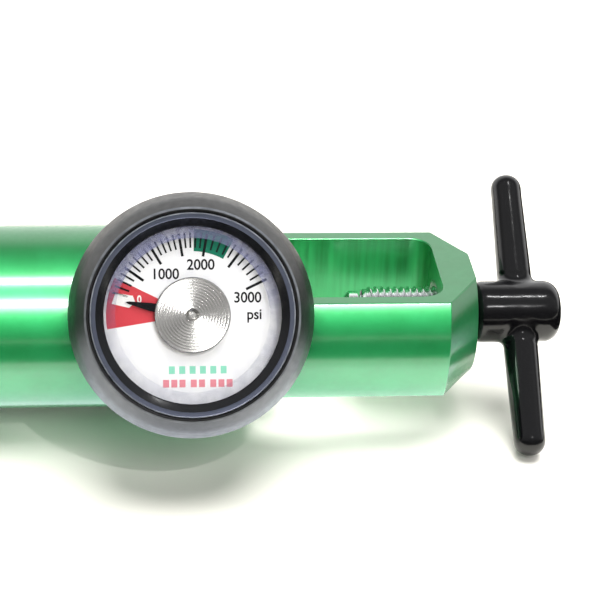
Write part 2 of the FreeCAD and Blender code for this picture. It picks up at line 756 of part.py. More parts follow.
def make_pressure_tube(height):
    """Bent pressure tube: most of a ring round the stem, fed by a short radial pipe."""
    ring = doc.addObject("Part::Torus", "tube_ring")
    bind(ring, "Radius1", s["tube_ring_radius"])
    bind(ring, "Radius2", s["tube_radius"])
    ring.Angle3 = 270
    pipe = doc.addObject("Part::Cylinder", "tube_feed")
    bind(pipe, "Radius", s["tube_feed_radius"])
    bind(pipe, "Height", s["tube_feed_length"])
    pipe.Placement = Placement(Vector(float(s["gauge_hub"]), 0.9, 0), Rotation(Vector(0, 1, 0), 90))
    joined = doc.addObject("Part::MultiFuse", "bourdon_tube")
    joined.Shapes = [ring, pipe]
    joined.Label = "bourdon_tube"
    joined.Placement = ALONG_GAUGE.multiply(
        Placement(Vector(float(height), 0, 0), Rotation(Vector(0, 1, 0), 90)))
    pieces.append(joined)


def make_pointer():
    """The needle, the turned metal cap over its hub, and the arbor they turn on."""
    low = s["needle_height"]
    top = low + s["needle_thickness"]
    gauge_piece("arbor", tube(low - 5.9, low, 0, s["arbor_radius"]))
    gauge_piece("pointer_cap", [
        (top, 0), (top, s["cap_radius"]), (top + 0.45, s["cap_radius"]),
        (top + 0.7, s["cap_radius"] - 0.4), (top + 0.7, 1.2), (top + 0.4, 0)])
    needle = new_piece("needle", ALONG_GAUGE, s["gauge_place"])
    sketch = sketch_on(needle, "YZ_Plane", across(low))
    bind(sketch, "AttachmentOffset.Base.z", low)
    turn = math.radians(NEEDLE_ANGLE)
    ends = [(-5, 1.0), (0, 1.3), (s["needle_length"] - 1, 0.45), (s["needle_length"], 0.0)]
    ends += [(length, -half) for length, half in reversed(ends[:-1])]
    outline(sketch, [(Size.of(length) * math.cos(turn) - half * math.sin(turn),
                      Size.of(length) * math.sin(turn) + half * math.cos(turn))
                     for length, half in ends])
    pad = feature(needle, "Pad", sketch)
    pad.Length = float(s["needle_thickness"])
    bind(pad, "Length", s["needle_thickness"])


# Build, check and write

def check(thing):
    """Stop on any object that failed, and on any sub-part without a sound solid."""
    bad = [item.Label for item in doc.Objects if {"Invalid", "Error"} & set(item.State)]
    if bad:
        raise SystemExit(f"failed objects: {bad}")
    for piece in thing:
        shape = piece.Shape
        if shape.isNull() or not shape.isValid() or shape.Volume <= 0 or len(shape.Solids) != 1:
            raise SystemExit(f"{piece.Label}: not one sound solid")


make_housing()
make_inlet()
make_reducer()
make_relief()
make_selector()
make_clamp()
make_gauge()
make_pointer()
doc.recompute()
check(pieces)
os.makedirs("parts", exist_ok=True)
for piece in pieces:
    piece.Shape.exportStep(f"parts/{piece.Label}.step")
    print(f"{piece.Label}: {piece.Shape.Volume:.1f} mm3")
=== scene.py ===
"""A pin-index oxygen regulator: green anodised barrel and yoke, booted pressure gauge, T-handle screw.

Everything is in metres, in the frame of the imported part: +X runs from the inlet seal to the T-handle,
+Z is along the valve post, and the gauge looks out 30 degrees above -Y. Sizes are named in millimetres.
"""
import math

import bmesh
import bpy
from mathutils import Matrix, Vector


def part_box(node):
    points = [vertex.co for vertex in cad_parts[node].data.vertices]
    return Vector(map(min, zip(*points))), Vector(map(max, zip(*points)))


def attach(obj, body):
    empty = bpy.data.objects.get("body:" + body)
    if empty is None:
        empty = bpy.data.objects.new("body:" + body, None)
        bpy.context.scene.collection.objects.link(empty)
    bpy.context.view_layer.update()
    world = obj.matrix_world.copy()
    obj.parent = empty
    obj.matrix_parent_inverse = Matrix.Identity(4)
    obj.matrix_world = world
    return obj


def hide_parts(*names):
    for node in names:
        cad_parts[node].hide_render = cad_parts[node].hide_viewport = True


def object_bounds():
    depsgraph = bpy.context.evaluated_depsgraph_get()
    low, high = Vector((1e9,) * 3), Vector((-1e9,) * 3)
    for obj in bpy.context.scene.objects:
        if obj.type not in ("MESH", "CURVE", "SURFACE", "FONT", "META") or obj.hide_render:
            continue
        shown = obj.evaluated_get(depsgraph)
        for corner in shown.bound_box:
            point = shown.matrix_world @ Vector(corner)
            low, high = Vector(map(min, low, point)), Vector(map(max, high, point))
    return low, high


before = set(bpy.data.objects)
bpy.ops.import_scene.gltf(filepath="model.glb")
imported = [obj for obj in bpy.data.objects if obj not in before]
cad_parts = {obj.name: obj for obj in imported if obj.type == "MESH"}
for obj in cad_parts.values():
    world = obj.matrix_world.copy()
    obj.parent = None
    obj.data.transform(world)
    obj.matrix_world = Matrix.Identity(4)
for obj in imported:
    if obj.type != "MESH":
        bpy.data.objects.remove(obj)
cad_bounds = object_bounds()

MM = 0.001
X, Y, Z = Vector((1, 0, 0)), Vector((0, 1, 0)), Vector((0, 0, 1))


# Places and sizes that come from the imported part

def millimetres(node):
    """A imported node's lowest and highest corners, in millimetres."""
    low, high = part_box(node)
    return low / MM, high / MM


BARREL_LOW, BARREL_HIGH = millimetres("housing")
BARREL_RADIUS = (BARREL_HIGH.y - BARREL_LOW.y) / 2
SEAT_PLACE = millimetres("seal_rubber")[0].x
GAUGE_PLACE = sum(end.x for end in millimetres("gauge_boot")) / 2
BOOT_RADIUS = (millimetres("gauge_boot")[1].x - millimetres("gauge_boot")[0].x) / 2
HUB_START, HUB_END = (end.x for end in millimetres("handle_cover"))
BAR_PLACE = sum(end.x for end in millimetres("handle_rod")) / 2
KNOB_START, KNOB_END = (end.x for end in millimetres("knob"))
SCREW_START = millimetres("screw")[0].x
TIP_START = millimetres("screw_tip")[0].x
BARB_START = millimetres("outlet_barb")[0].x
RELIEF_PLACE = sum(end.x for end in millimetres("relief_cap")) / 2
CAP_RADIUS = (millimetres("pointer_cap")[1].x - millimetres("pointer_cap")[0].x) / 2

FLOOR_HEIGHT = cad_bounds[0][2]

# Sizes of the part's own design
FLAT_HEIGHT = 12.0
NOSE_START, NOSE_RADIUS = 38.7, 13.3
WINDOW_END, WINDOW_HALF_WIDTH, WINDOW_CORNER = 38.0, 13.5, 5.0
SCREW_RADIUS, SCREW_CLEARANCE, THREAD_DEPTH, THREAD_PITCH = 6.0, 0.05, 0.9, 1.5
HUB_RADIUS = 7.05
BAR_HALF_LENGTH, BAR_END_RADIUS, BAR_MID_RADIUS = 34.5, 3.6, 4.0
GAUGE_TILT = math.radians(60)
BAR_ANGLE = math.radians(37.4)
DIAL_FACE, NEEDLE_HEIGHT, CAP_HEIGHT = 32.9, 33.55, 33.9
SETTINGS = ("0", "1/8", "1/4", "1/2", "3/4", "1", "1.5", "2", "3", "4")

GAUGE_OUT = Vector((0, -math.sin(GAUGE_TILT), math.cos(GAUGE_TILT)))
GAUGE_UP = Vector((0, math.cos(GAUGE_TILT), math.sin(GAUGE_TILT)))
BAR_WAY = Vector((0, math.cos(BAR_ANGLE), math.sin(BAR_ANGLE)))


def axes(place, right, up, out):
    """A local frame in millimetres whose z is out, set into the part's frame."""
    turn = Matrix((right, up, out)).transposed().to_4x4()
    return Matrix.Translation(Vector(place) * MM) @ turn @ Matrix.Scale(MM, 4)


BARREL = axes((0, 0, 0), Y, Z, X)
DIAL = axes((GAUGE_PLACE, 0, 0), X, GAUGE_UP, GAUGE_OUT)
BAR = axes((BAR_PLACE, 0, 0), X.cross(BAR_WAY), X, -BAR_WAY)
RELIEF = axes((RELIEF_PLACE, 0, 0), X, -GAUGE_UP, -GAUGE_OUT)


# Colours and material nodes

def srgb(hex_colour):
    """Linear RGBA from an sRGB hex colour."""
    values = [int(hex_colour[i:i + 2], 16) / 255 for i in (1, 3, 5)]
    linear = [v / 12.92 if v <= 0.04045 else ((v + 0.055) / 1.055) ** 2.4 for v in values]
    return (*linear, 1.0)


def add(tree, kind, settings=None, **inputs):
    """Add a shader node: settings are its properties, inputs are its sockets, linked or set."""
    node = tree.nodes.new("ShaderNode" + kind)
    for name, value in (settings or {}).items():
        setattr(node, name, value)
    for name, value in inputs.items():
        numbered = name[1:].isdigit()
        socket = node.inputs[int(name[1:]) if numbered else name.replace("_", " ")]
        if isinstance(value, bpy.types.NodeSocket):
            tree.links.new(value, socket)
        else:
            socket.default_value = value
    return node


def new_material(name, colour, roughness, metallic=0.0, **surface):
    """A material with one Principled shader, its even values set on the shader's own sockets."""
    material = bpy.data.materials.new(name)
    material.use_nodes = True
    tree = material.node_tree
    shader = tree.nodes["Principled BSDF"]
    shader.inputs["Base Color"].default_value = srgb(colour)
    shader.inputs["Roughness"].default_value = roughness
    shader.inputs["Metallic"].default_value = metallic
    for socket, value in surface.items():
        shader.inputs[socket.replace("_", " ")].default_value = value
    return material, tree, shader


def speckle(tree, size, detail=2.0):
    """Noise whose grains are about size millimetres across, in the part's frame."""
    place = add(tree, "TexCoord")
    return add(tree, "TexNoise", Vector=place.outputs["Object"], Scale=1 / (size * MM), Detail=detail)


def vary_colour(tree, shader, noise, dark, light, spread=0.15):
    """Drift the base colour between two shades by a noise."""
    ramp = add(tree, "ValToRGB", Fac=noise.outputs["Fac"])
    ramp.color_ramp.elements[0].position = 0.5 - spread
    ramp.color_ramp.elements[0].color = srgb(dark)
    ramp.color_ramp.elements[1].position = 0.5 + spread
    ramp.color_ramp.elements[1].color = srgb(light)
    tree.links.new(ramp.outputs["Color"], shader.inputs["Base Color"])


def vary_roughness(tree, shader, noise, smooth, rough):
    """Drift the roughness between two values by a noise."""
    spread = add(tree, "MapRange", Value=noise.outputs["Fac"], From_Min=0.3, From_Max=0.7,
                 To_Min=smooth, To_Max=rough)
    tree.links.new(spread.outputs["Result"], shader.inputs["Roughness"])


def raise_by(tree, shader, height, depth):
    """Bump the surface by a height pattern, depth in millimetres from its lows to its highs."""
    bump = add(tree, "Bump", Height=height, Distance=depth * MM, Strength=1.0)
    tree.links.new(bump.outputs["Normal"], shader.inputs["Normal"])


def mottled(name, colour, metallic, grain, gloss, texture=None, **surface):
    """A material whose roughness drifts between two values over grains of a size in millimetres,
    with a fine texture where one is given: its grain size, detail and depth."""
    material, tree, shader = new_material(name, colour, sum(gloss) / 2, metallic, **surface)
    vary_roughness(tree, shader, speckle(tree, grain), *gloss)
    if texture:
        size, detail, depth = texture
        raise_by(tree, shader, speckle(tree, size, detail).outputs["Fac"], depth)
    return material


def lathe_lines(tree, spacing, along="X"):
    """Fine lines square to an axis, as a turning tool leaves them, spaced in millimetres."""
    place = add(tree, "TexCoord")
    return add(tree, "TexWave", {"bands_direction": along}, Vector=place.outputs["Object"],
               Scale=math.pi / (10 * spacing * MM), Distortion=0.0)


def turned_anodising():
    """Turned aluminium with a dyed oxide film: green metal under a colourless gloss that whitens it."""
    material, tree, shader = new_material("green_anodised_turned", "#1C7D43", 0.55, 1.0,
                                          Coat_Weight=1.0, Coat_Roughness=0.19, Coat_IOR=1.7)
    vary_colour(tree, shader, speckle(tree, 8.0), "#1A7A40", "#1E8046")
    vary_roughness(tree, shader, speckle(tree, 1.2), 0.52, 0.58)
    return material


def milled_anodising():
    """Milled faces of the same part: flatter and duller than the turned ones."""
    material, tree, shader = new_material("green_anodised_milled", "#1C7E44", 0.55, 1.0,
                                          Coat_Weight=1.0, Coat_Roughness=0.3, Coat_IOR=1.7)
    vary_colour(tree, shader, speckle(tree, 5.0), "#1A7B41", "#1E8147")
    vary_roughness(tree, shader, speckle(tree, 1.5), 0.51, 0.59)
    return material


def milled_walls_painted_light():
    """Window walls cut with the side of an end mill: a lighter green than the outer faces, painted in place
    of the light the walls catch, with upright streaks that are painted reflections in the colour and tool
    marks in the roughness and bump.
    """
    material, tree, shader = new_material("green_anodised_walls", "#22954C", 0.5, 1.0,
                                          Coat_Weight=0.7, Coat_Roughness=0.28, Coat_IOR=1.6)
    place = add(tree, "TexCoord")
    stretched = add(tree, "Mapping", Vector=place.outputs["Object"], Scale=(1.0, 1.0, 0.06))
    marks = add(tree, "TexNoise", Vector=stretched.outputs["Vector"], Scale=1 / (1.1 * MM), Detail=3.0)
    # The streaks' colour is a painted reflection; in roughness and bump they are tool marks.
    vary_colour(tree, shader, marks, "#1C8743", "#2AA358", 0.2)
    vary_roughness(tree, shader, marks, 0.38, 0.58)
    raise_by(tree, shader, marks.outputs["Fac"], 0.012)
    return material


def moulded_rubber():
    """Black synthetic rubber from a polished mould: a soft sheen, grey at a glancing angle."""
    return mottled("moulded_rubber", "#0E0E0F", 0.0, 1.5, (0.33, 0.43), (0.5, 3.0, 0.01),
                   Specular_IOR_Level=0.6)


def grained_plastic():
    """Blue-black bezel moulding with a fine spark-eroded grain."""
    return mottled("grained_plastic", "#2B303C", 0.0, 0.5, (0.34, 0.5), (0.3, 2.0, 0.03))


def rubbed_rubber():
    """The boot's lip: a paler ring painted on its top as a highlight."""
    material, tree, shader = new_material("rubbed_rubber", "#4E5156", 0.5)
    vary_colour(tree, shader, speckle(tree, 2.5), "#44474C", "#5A5D62")
    raise_by(tree, shader, speckle(tree, 0.4).outputs["Fac"], 0.02)
    return material


def rubbed_plastic():
    """The bezel's outer edge: a paler grey ring all round, painted as a highlight."""
    material, tree, shader = new_material("rubbed_plastic", "#6E7278", 0.3)
    vary_colour(tree, shader, speckle(tree, 2.0), "#5C6068", "#7E8288")
    return material


def polished_plastic():
    """The bezel's inner slope, polished black where the grain stops."""
    return mottled("polished_plastic", "#0B0C0F", 0.0, 1.0, (0.16, 0.26))


def dipped_vinyl():
    """Black vinyl from a dipping bath: glossy, with a slow ripple where it ran before it set."""
    return mottled("dipped_vinyl", "#070709", 0.0, 3.0, (0.12, 0.18), (4.0, 1.0, 0.05))


def zinc_plate():
    """Bright zinc plate over rolled thread."""
    return mottled("zinc_plate", "#D9DADC", 1.0, 0.8, (0.12, 0.28))


def machined_brass():
    """Brass as it comes off the lathe, with tool lines round its axis."""
    material, tree, shader = new_material("machined_brass", "#D8BE85", 0.24, 1.0)
    vary_colour(tree, shader, speckle(tree, 4.0), "#CDB279", "#E2CA95")
    raise_by(tree, shader, lathe_lines(tree, 0.2).outputs["Fac"], 0.01)
    return material


def ground_steel():
    """Ground steel pins and rods."""
    return mottled("ground_steel", "#B9BBBE", 1.0, 0.6, (0.2, 0.32))


def turned_aluminium():
    """Bare turned aluminium; the rings of the cap over the needle's hub are in its mesh."""
    return mottled("turned_aluminium", "#DEDCD8", 1.0, 3.0, (0.24, 0.26))


def sintered_bronze():
    """Porous bronze filter."""
    material, tree, shader = new_material("sintered_bronze", "#7C5A36", 0.6, 1.0)
    grain = speckle(tree, 0.25)
    vary_colour(tree, shader, grain, "#4E3822", "#96713F")
    raise_by(tree, shader, grain.outputs["Fac"], 0.05)
    return material


def seal_rubber():
    """Matt black rubber of the inlet seal and the O-rings."""
    material, tree, shader = new_material("nitrile_rubber", "#121212", 0.6)
    raise_by(tree, shader, speckle(tree, 0.4).outputs["Fac"], 0.02)
    return material


def knob_plastic():
    """Black nylon of the flow knob, moulded with a fine texture."""
    return mottled("moulded_nylon", "#131416", 0.0, 0.8, (0.4, 0.52), (0.35, 3.0, 0.03))


def seat_plastic():
    """White fluoroplastic of the seat and the thrust washer."""
    material, tree, shader = new_material("fluoroplastic", "#E9E8E3", 0.4)
    raise_by(tree, shader, speckle(tree, 0.6).outputs["Fac"], 0.01)
    return material


def dial_enamel():
    """White printed tinplate of the dial."""
    material, tree, shader = new_material("dial_enamel", "#F4F4F6", 0.45)
    vary_colour(tree, shader, speckle(tree, 3.0), "#F1F1F4", "#F8F8F8")
    return material


def printing_ink(name, colour):
    """Ink on the dial or the knob, a little uneven as pad printing is."""
    return mottled(name, colour, 0.0, 0.4, (0.42, 0.6))


def clear_polycarbonate():
    """Clear polycarbonate lens, which shows little but its gloss."""
    return new_material("clear_polycarbonate", "#0B0D10", 0.03, IOR=1.58, Alpha=0.1)[0]


def rim_painted_reflection():
    """The lens's thick shoulder: clear below, and above it a painted reflection of the bezel, lavender and
    streaked, stronger towards the top.
    """
    material, tree, shader = new_material("polycarbonate_shoulder", "#8488AC", 0.15, IOR=1.58)
    place = add(tree, "TexCoord")
    middle = add(tree, "VectorMath", {"operation": "SUBTRACT"}, _0=place.outputs["Object"],
                 _1=tuple(DIAL @ Vector((0, 0, DIAL_FACE))))
    upward = add(tree, "VectorMath", {"operation": "DOT_PRODUCT"}, _0=middle.outputs[0],
                 _1=tuple(GAUGE_UP))
    # The painted reflection grows stronger towards the upper side of the dial.
    painted_reflection_rise = add(tree, "MapRange", Value=upward.outputs["Value"], From_Min=1.0 * MM, From_Max=9.0 * MM,
                To_Min=0.1, To_Max=0.5)
    streaks = add(tree, "TexNoise", Vector=place.outputs["Object"], Scale=1 / (2.0 * MM), Detail=1.0)
    patchy_reflection = add(tree, "MapRange", Value=streaks.outputs["Fac"], From_Min=0.35, From_Max=0.65,
                 To_Min=0.5, To_Max=1.05)
    cover = add(tree, "Math", {"operation": "MULTIPLY"}, _0=painted_reflection_rise.outputs["Result"],
                _1=patchy_reflection.outputs["Result"])
    tree.links.new(cover.outputs[0], shader.inputs["Alpha"])
    return material


MATERIALS = {
    "turned": turned_anodising(), "milled": milled_anodising(), "walls": milled_walls_painted_light(),
    "boot": moulded_rubber(), "slope": polished_plastic(),
    # The edge and lip materials are paler rings painted as highlights.
    "edge": rubbed_plastic(), "lip": rubbed_rubber(),
    "bezel": grained_plastic(), "vinyl": dipped_vinyl(), "zinc": zinc_plate(),
    "brass": machined_brass(), "steel": ground_steel(), "aluminium": turned_aluminium(),
    "bronze": sintered_bronze(), "seal": seal_rubber(), "knob": knob_plastic(),
    "seat": seat_plastic(), "dial": dial_enamel(), "lens": clear_polycarbonate(),
    # The rim material paints the bezel's reflection on the lens's shoulder.
    "rim": rim_painted_reflection(), "black_ink": printing_ink("black_ink", "#101014"),
    "red_ink": printing_ink("red_ink", "#D0434C"), "green_ink": printing_ink("green_ink", "#137A5E"),
    "pale_green_ink": printing_ink("pale_green_ink", "#8FD9BE"),
    "pale_red_ink": printing_ink("pale_red_ink", "#E58E99"),
    "white_ink": printing_ink("white_ink", "#F5F5F2"),
}


# Making pieces

def finish_piece(mesh, name, body, material, place, replaces=(), sharp=35):
    """Put a mesh into the scene: its frame, shading, material, body and the nodes it stands for."""
    mesh.transform(place)
    mesh.shade_smooth()
    mesh.set_sharp_from_angle(angle=math.radians(sharp))
    if not mesh.materials:
        mesh.materials.append(MATERIALS[material])
    piece = bpy.data.objects.new(name, mesh)
    bpy.context.scene.collection.objects.link(piece)
    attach(piece, body)
    if replaces:
        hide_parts(*replaces)
    return piece


def mesh_of(name, points, faces):
    """A mesh from points and faces, welded and with its faces turned outwards."""
    mesh = bpy.data.meshes.new(name)
    mesh.from_pydata([tuple(p) for p in points], [], faces)
    work = bmesh.new()
    work.from_mesh(mesh)
    bmesh.ops.remove_doubles(work, verts=work.verts, dist=1e-5)
    bmesh.ops.dissolve_degenerate(work, edges=work.edges, dist=1e-6)
    bmesh.ops.recalc_face_normals(work, faces=work.faces)
    work.to_mesh(mesh)
    work.free()
    return mesh


def skin(rows, closed_ends=False):
    """Faces between rings of points; closed_ends joins the last ring to the first."""
    points = [p for row in rows for p in row]
    count, width = len(rows), len(rows[0])
    faces = []
    for i in range(count if closed_ends else count - 1):
        a, b = i * width, (i + 1) % count * width
        for j in range(width):
            k = (j + 1) % width
            faces.append((a + j, a + k, b + k, b + j))
    return points, faces


def rounded(corners, closed=True, step=14):
    """An outline of (radius, height, rounding) corners with each corner turned into an arc."""
    outline = []
    count = len(corners)
    for i, (radius, height, rounding) in enumerate(corners):
        here = Vector((radius, height))
        if rounding == 0 or (not closed and i in (0, count - 1)):
            outline.append(here)
            continue
        back = (Vector(corners[i - 1][:2]) - here).normalized()
        ahead = (Vector(corners[(i + 1) % count][:2]) - here).normalized()
        half = back.angle(ahead) / 2
        start = here + back * (rounding / math.tan(half))
        centre = here + (back + ahead).normalized() * (rounding / math.sin(half))
        turn = math.pi - 2 * half
        way = -1 if back.cross(ahead) > 0 else 1
        parts = max(2, math.ceil(math.degrees(turn) / step))
        for k in range(parts + 1):
            arm = (start - centre)
            arm.rotate(Matrix.Rotation(way * turn * k / parts, 2))
            outline.append(centre + arm)
    return outline


def lathe(name, outline, steps=144, closed=True):
    """Turn an outline of (radius, height) points about the local z."""
    rows = []
    for radius, height in outline:
        rows.append([(radius * math.cos(2 * math.pi * k / steps),
                      radius * math.sin(2 * math.pi * k / steps), height) for k in range(steps)])
    return mesh_of(name, *skin(rows, closed))


def turned(name, corners, steps):
    """A turning from rounded corners, left open between its last corner and its first."""
    return lathe(name, rounded(corners, closed=False), steps, False)


def weld_smooth(a, b, blend):
    """The smaller of two values, rounded where they cross within blend of each other."""
    reach = max(blend - abs(a - b), 0) / blend
    return min(a, b) - reach * reach * blend / 4


def boolean(target, cutter, way):
    """Apply a boolean between two meshes and return the result as a new mesh."""
    base = bpy.data.objects.new("boolean_base", target)
    tool = bpy.data.objects.new("boolean_tool", cutter)
    for thing in (base, tool):
        bpy.context.scene.collection.objects.link(thing)
    change = base.modifiers.new("boolean", "BOOLEAN")
    change.object, change.operation, change.solver = tool, way, "EXACT"
    depsgraph = bpy.context.evaluated_depsgraph_get()
    mesh = bpy.data.meshes.new_from_object(base.evaluated_get(depsgraph))
    for thing in (base, tool):
        bpy.data.objects.remove(thing)
    return mesh


def weight_normals(piece):
    """Let broad faces set the normals, so that narrow roundings carry the highlight."""
    change = piece.modifiers.new("weighted_normals", "WEIGHTED_NORMAL")
    change.keep_sharp = True
    change.weight = 60


# Barrel and yoke

CREASE_BLEND = 0.3


def crease_angle(radius):
    """Where the yoke's flats meet its round, measured from the middle of the round side."""
    return math.asin(min(FLAT_HEIGHT / radius, 0.9999)) if radius > FLAT_HEIGHT else math.pi / 2


def column_angles(radius):
    """Angles round a section, with extra columns at the four creases."""
    crease = crease_angle(radius)
    slope = max(radius / math.tan(crease), 1e-3) if crease < math.pi / 2 else 1e9
    near = min(CREASE_BLEND / slope, 0.4 * (math.pi / 2 - crease), 0.05)
    side = [crease - near - (crease - near) * k / 16 for k in range(16, 0, -1)]
    quarter = side + [crease + near * k / 3 for k in range(-3, 4)]
    top_start = crease + near
    half_width = FLAT_HEIGHT / math.tan(top_start) if top_start < math.pi / 2 else 0.0
    for k in range(1, 13):
        quarter.append(math.atan2(FLAT_HEIGHT, half_width * (1 - k / 12)))
    mirrored = [math.pi - a for a in reversed(quarter[:-1])]
    half = quarter + mirrored
    return half + [a + math.pi for a in half]


def section(place, radius, keep):
    """One ring of the housing: round where keep is large, cut to the flats where it is 0."""
    ring = []
    for angle in column_angles(max(radius, 1.0)):
        flat = FLAT_HEIGHT / max(abs(math.sin(angle)), 1e-6)
        reach = weld_smooth(radius, max(flat, keep), CREASE_BLEND) if keep < radius else radius
        if radius <= FLAT_HEIGHT:
            reach = radius
        ring.append((reach * math.cos(angle), reach * math.sin(angle), place))
    return ring


def housing_rows():
    """Rings along the barrel: plug bore, barrel, shoulder at the seat, flats, cone, end face, hole."""
    whole, cut = 2 * BARREL_RADIUS, 0.0
    left, seat, right = BARREL_LOW.x, SEAT_PLACE, BARREL_HIGH.x
    hole = SCREW_RADIUS + SCREW_CLEARANCE
    ends = rounded([(0.0, left + 8, 0), (14.0, left + 8, 0), (14.0, left, 0.3),
                    (BARREL_RADIUS, left, 0.6), (BARREL_RADIUS, left + 2, 0)], closed=False)
    rows = [section(place, radius, whole) for radius, place in ends]
    rows += [section(place, BARREL_RADIUS, whole) for place in (left + 20, left + 45, seat - 0.35)]
    for degrees in (30, 60, 90):
        turn = math.radians(degrees)
        rows.append(section(seat - 0.35 * (1 - math.sin(turn)), BARREL_RADIUS,
                            BARREL_RADIUS - 0.35 * (1 - math.cos(turn))))
    nose = rounded([(BARREL_RADIUS, seat, 0), (BARREL_RADIUS, NOSE_START, 0.35),
                    (NOSE_RADIUS, right, 0.45), (FLAT_HEIGHT + 0.05, right, 0),
                    (FLAT_HEIGHT - 0.05, right, 0), (hole + 0.8, right, 0.15), (hole, right - 0.8, 0.15),
                    (hole, WINDOW_END + 1.5, 0.2), (hole + 3.0, WINDOW_END - 1.5, 0),
                    (0.0, WINDOW_END - 1.5, 0)], closed=False)
    rows += [section(place, radius, cut) for radius, place in nose]
    return rows


def window_cutter():
    """The valve-post window as a solid, flared where it comes out so that the rims are rounded."""
    rim = 0.35
    levels = [(25.0, 2 * rim)]
    for degrees in (75, 50, 25, 0):
        turn = math.radians(degrees)
        levels.append((FLAT_HEIGHT - rim + rim * math.sin(turn), rim * (1 - math.cos(turn))))
    levels += [(-z, offset) for z, offset in reversed(levels)]
    rows = []
    for z, offset in levels:
        ring = []
        corner = WINDOW_CORNER + offset
        for quarter, (sx, sy) in enumerate(((1, -1), (1, 1), (-1, 1), (-1, -1))):
            middle_x = WINDOW_END - WINDOW_CORNER if sx > 0 else SEAT_PLACE + WINDOW_CORNER
            middle_y = sy * (WINDOW_HALF_WIDTH - WINDOW_CORNER)
            for k in range(13):
                turn = math.radians(-90 + 90 * quarter + 7.5 * k)
                ring.append((max(middle_x + corner * math.cos(turn), SEAT_PLACE),
                             middle_y + corner * math.sin(turn), z))
        rows.append(ring)
    points, faces = skin(rows)
    width = len(rows[0])
    faces.append(tuple(range(width)))
    faces.append(tuple(range(len(points) - width, len(points))))
    return mesh_of("window_cutter", points, faces)


def finish_of(face):
    """Which finish a face of the housing has: 0 turned, 1 milled flat, 2 window wall."""
    middle, normal = face.center, face.normal
    if abs(normal.z) > 0.999 and abs(abs(middle.z) - FLAT_HEIGHT) < 0.02:
        return 1
    in_window = (abs(normal.z) < 0.2 and abs(middle.z) < FLAT_HEIGHT
                 and abs(middle.y) <= WINDOW_HALF_WIDTH + 0.01
                 and SEAT_PLACE - 0.1 < middle.x < WINDOW_END + 0.1)
    return 2 if in_window else 0


def make_housing():
    """Barrel and yoke: the turned bar with flats, less the window and the relief valve's recess."""
    bar = mesh_of("bar", *skin(housing_rows()))
    bar.transform(BARREL)
    window = window_cutter()
    window.transform(Matrix.Scale(MM, 4))
    recess = lathe("recess", rounded([(0.0, 19.0, 0), (4.05, 19.0, 0), (4.05, 20.15, 0.15),
                                      (5.0, 21.2, 0), (5.0, 23.0, 0), (0.0, 23.0, 0)], closed=False), 64)
    recess.transform(RELIEF)
    mesh = boolean(boolean(bar, window, "DIFFERENCE"), recess, "DIFFERENCE")
    mesh.name = "housing_skin"
    mesh.transform(Matrix.Scale(1 / MM, 4))
    mesh.materials.clear()
    for material in ("turned", "milled", "walls"):
        mesh.materials.append(MATERIALS[material])
    for face in mesh.polygons:
        face.material_index = finish_of(face)
    piece = finish_piece(mesh, "barrel_and_yoke", "regulator", None,
                         Matrix.Scale(MM, 4), ["housing"], 30)
    weight_normals(piece)


# Clamping screw and handle

def thread_profile(phase):
    """Radius of the thread at a phase of 0 to 1 along one pitch."""
    crest, root = SCREW_RADIUS, SCREW_RADIUS - THREAD_DEPTH
    ramp = abs(((phase % 1.0) - 0.5) * 2)
    return root + (crest - root) * min(max((ramp - 0.14) / 0.72, 0), 1)


def make_screw():
    """The screw with its true helical thread, chamfered at the tip."""
    start, end = SCREW_START, HUB_START + 3.0
    per_pitch, columns = 16, 96
    turns = int((end - start) / THREAD_PITCH) + 3
    rows = []
    for i in range(turns * per_pitch):
        ring = []
        for k in range(columns):
            climb = (i / per_pitch - 1 + k / columns) * THREAD_PITCH
            place = min(max(start + climb, start), end)
            radius = thread_profile(i / per_pitch)
            radius = min(radius, SCREW_RADIUS - THREAD_DEPTH + (place - start) * 0.9)
            turn = 2 * math.pi * k / columns
            ring.append((radius * math.cos(turn), radius * math.sin(turn), place))
        rows.append(ring)
    points, faces = [p for row in rows for p in row], []
    for i in range(len(rows) - 1):
        for k in range(columns):
            a, b = i * columns + k, i * columns + k + 1
            if k == columns - 1:
                b = (i + per_pitch) * columns
            if b + columns < len(points):
                faces.append((a, b, b + columns, a + columns))
    mesh = mesh_of("screw_thread", points, faces)
    finish_piece(mesh, "screw_thread", "clamp_screw", "zinc", BARREL, ["screw"], 50)
    tip = turned("swivel_tip", [
        (0.0, TIP_START + 0.35, 0), (1.2, TIP_START, 0.2), (3.8, TIP_START, 0.4),
        (5.0, TIP_START + 0.9, 0.3), (5.0, TIP_START + 3.0, 0.3), (2.5, TIP_START + 3.0, 0.1),
        (2.5, SCREW_START + 2.0, 0), (0.0, SCREW_START + 2.0, 0)], 96)
    finish_piece(tip, "swivel_nose", "swivel_tip", "zinc", BARREL, ["screw_tip"])


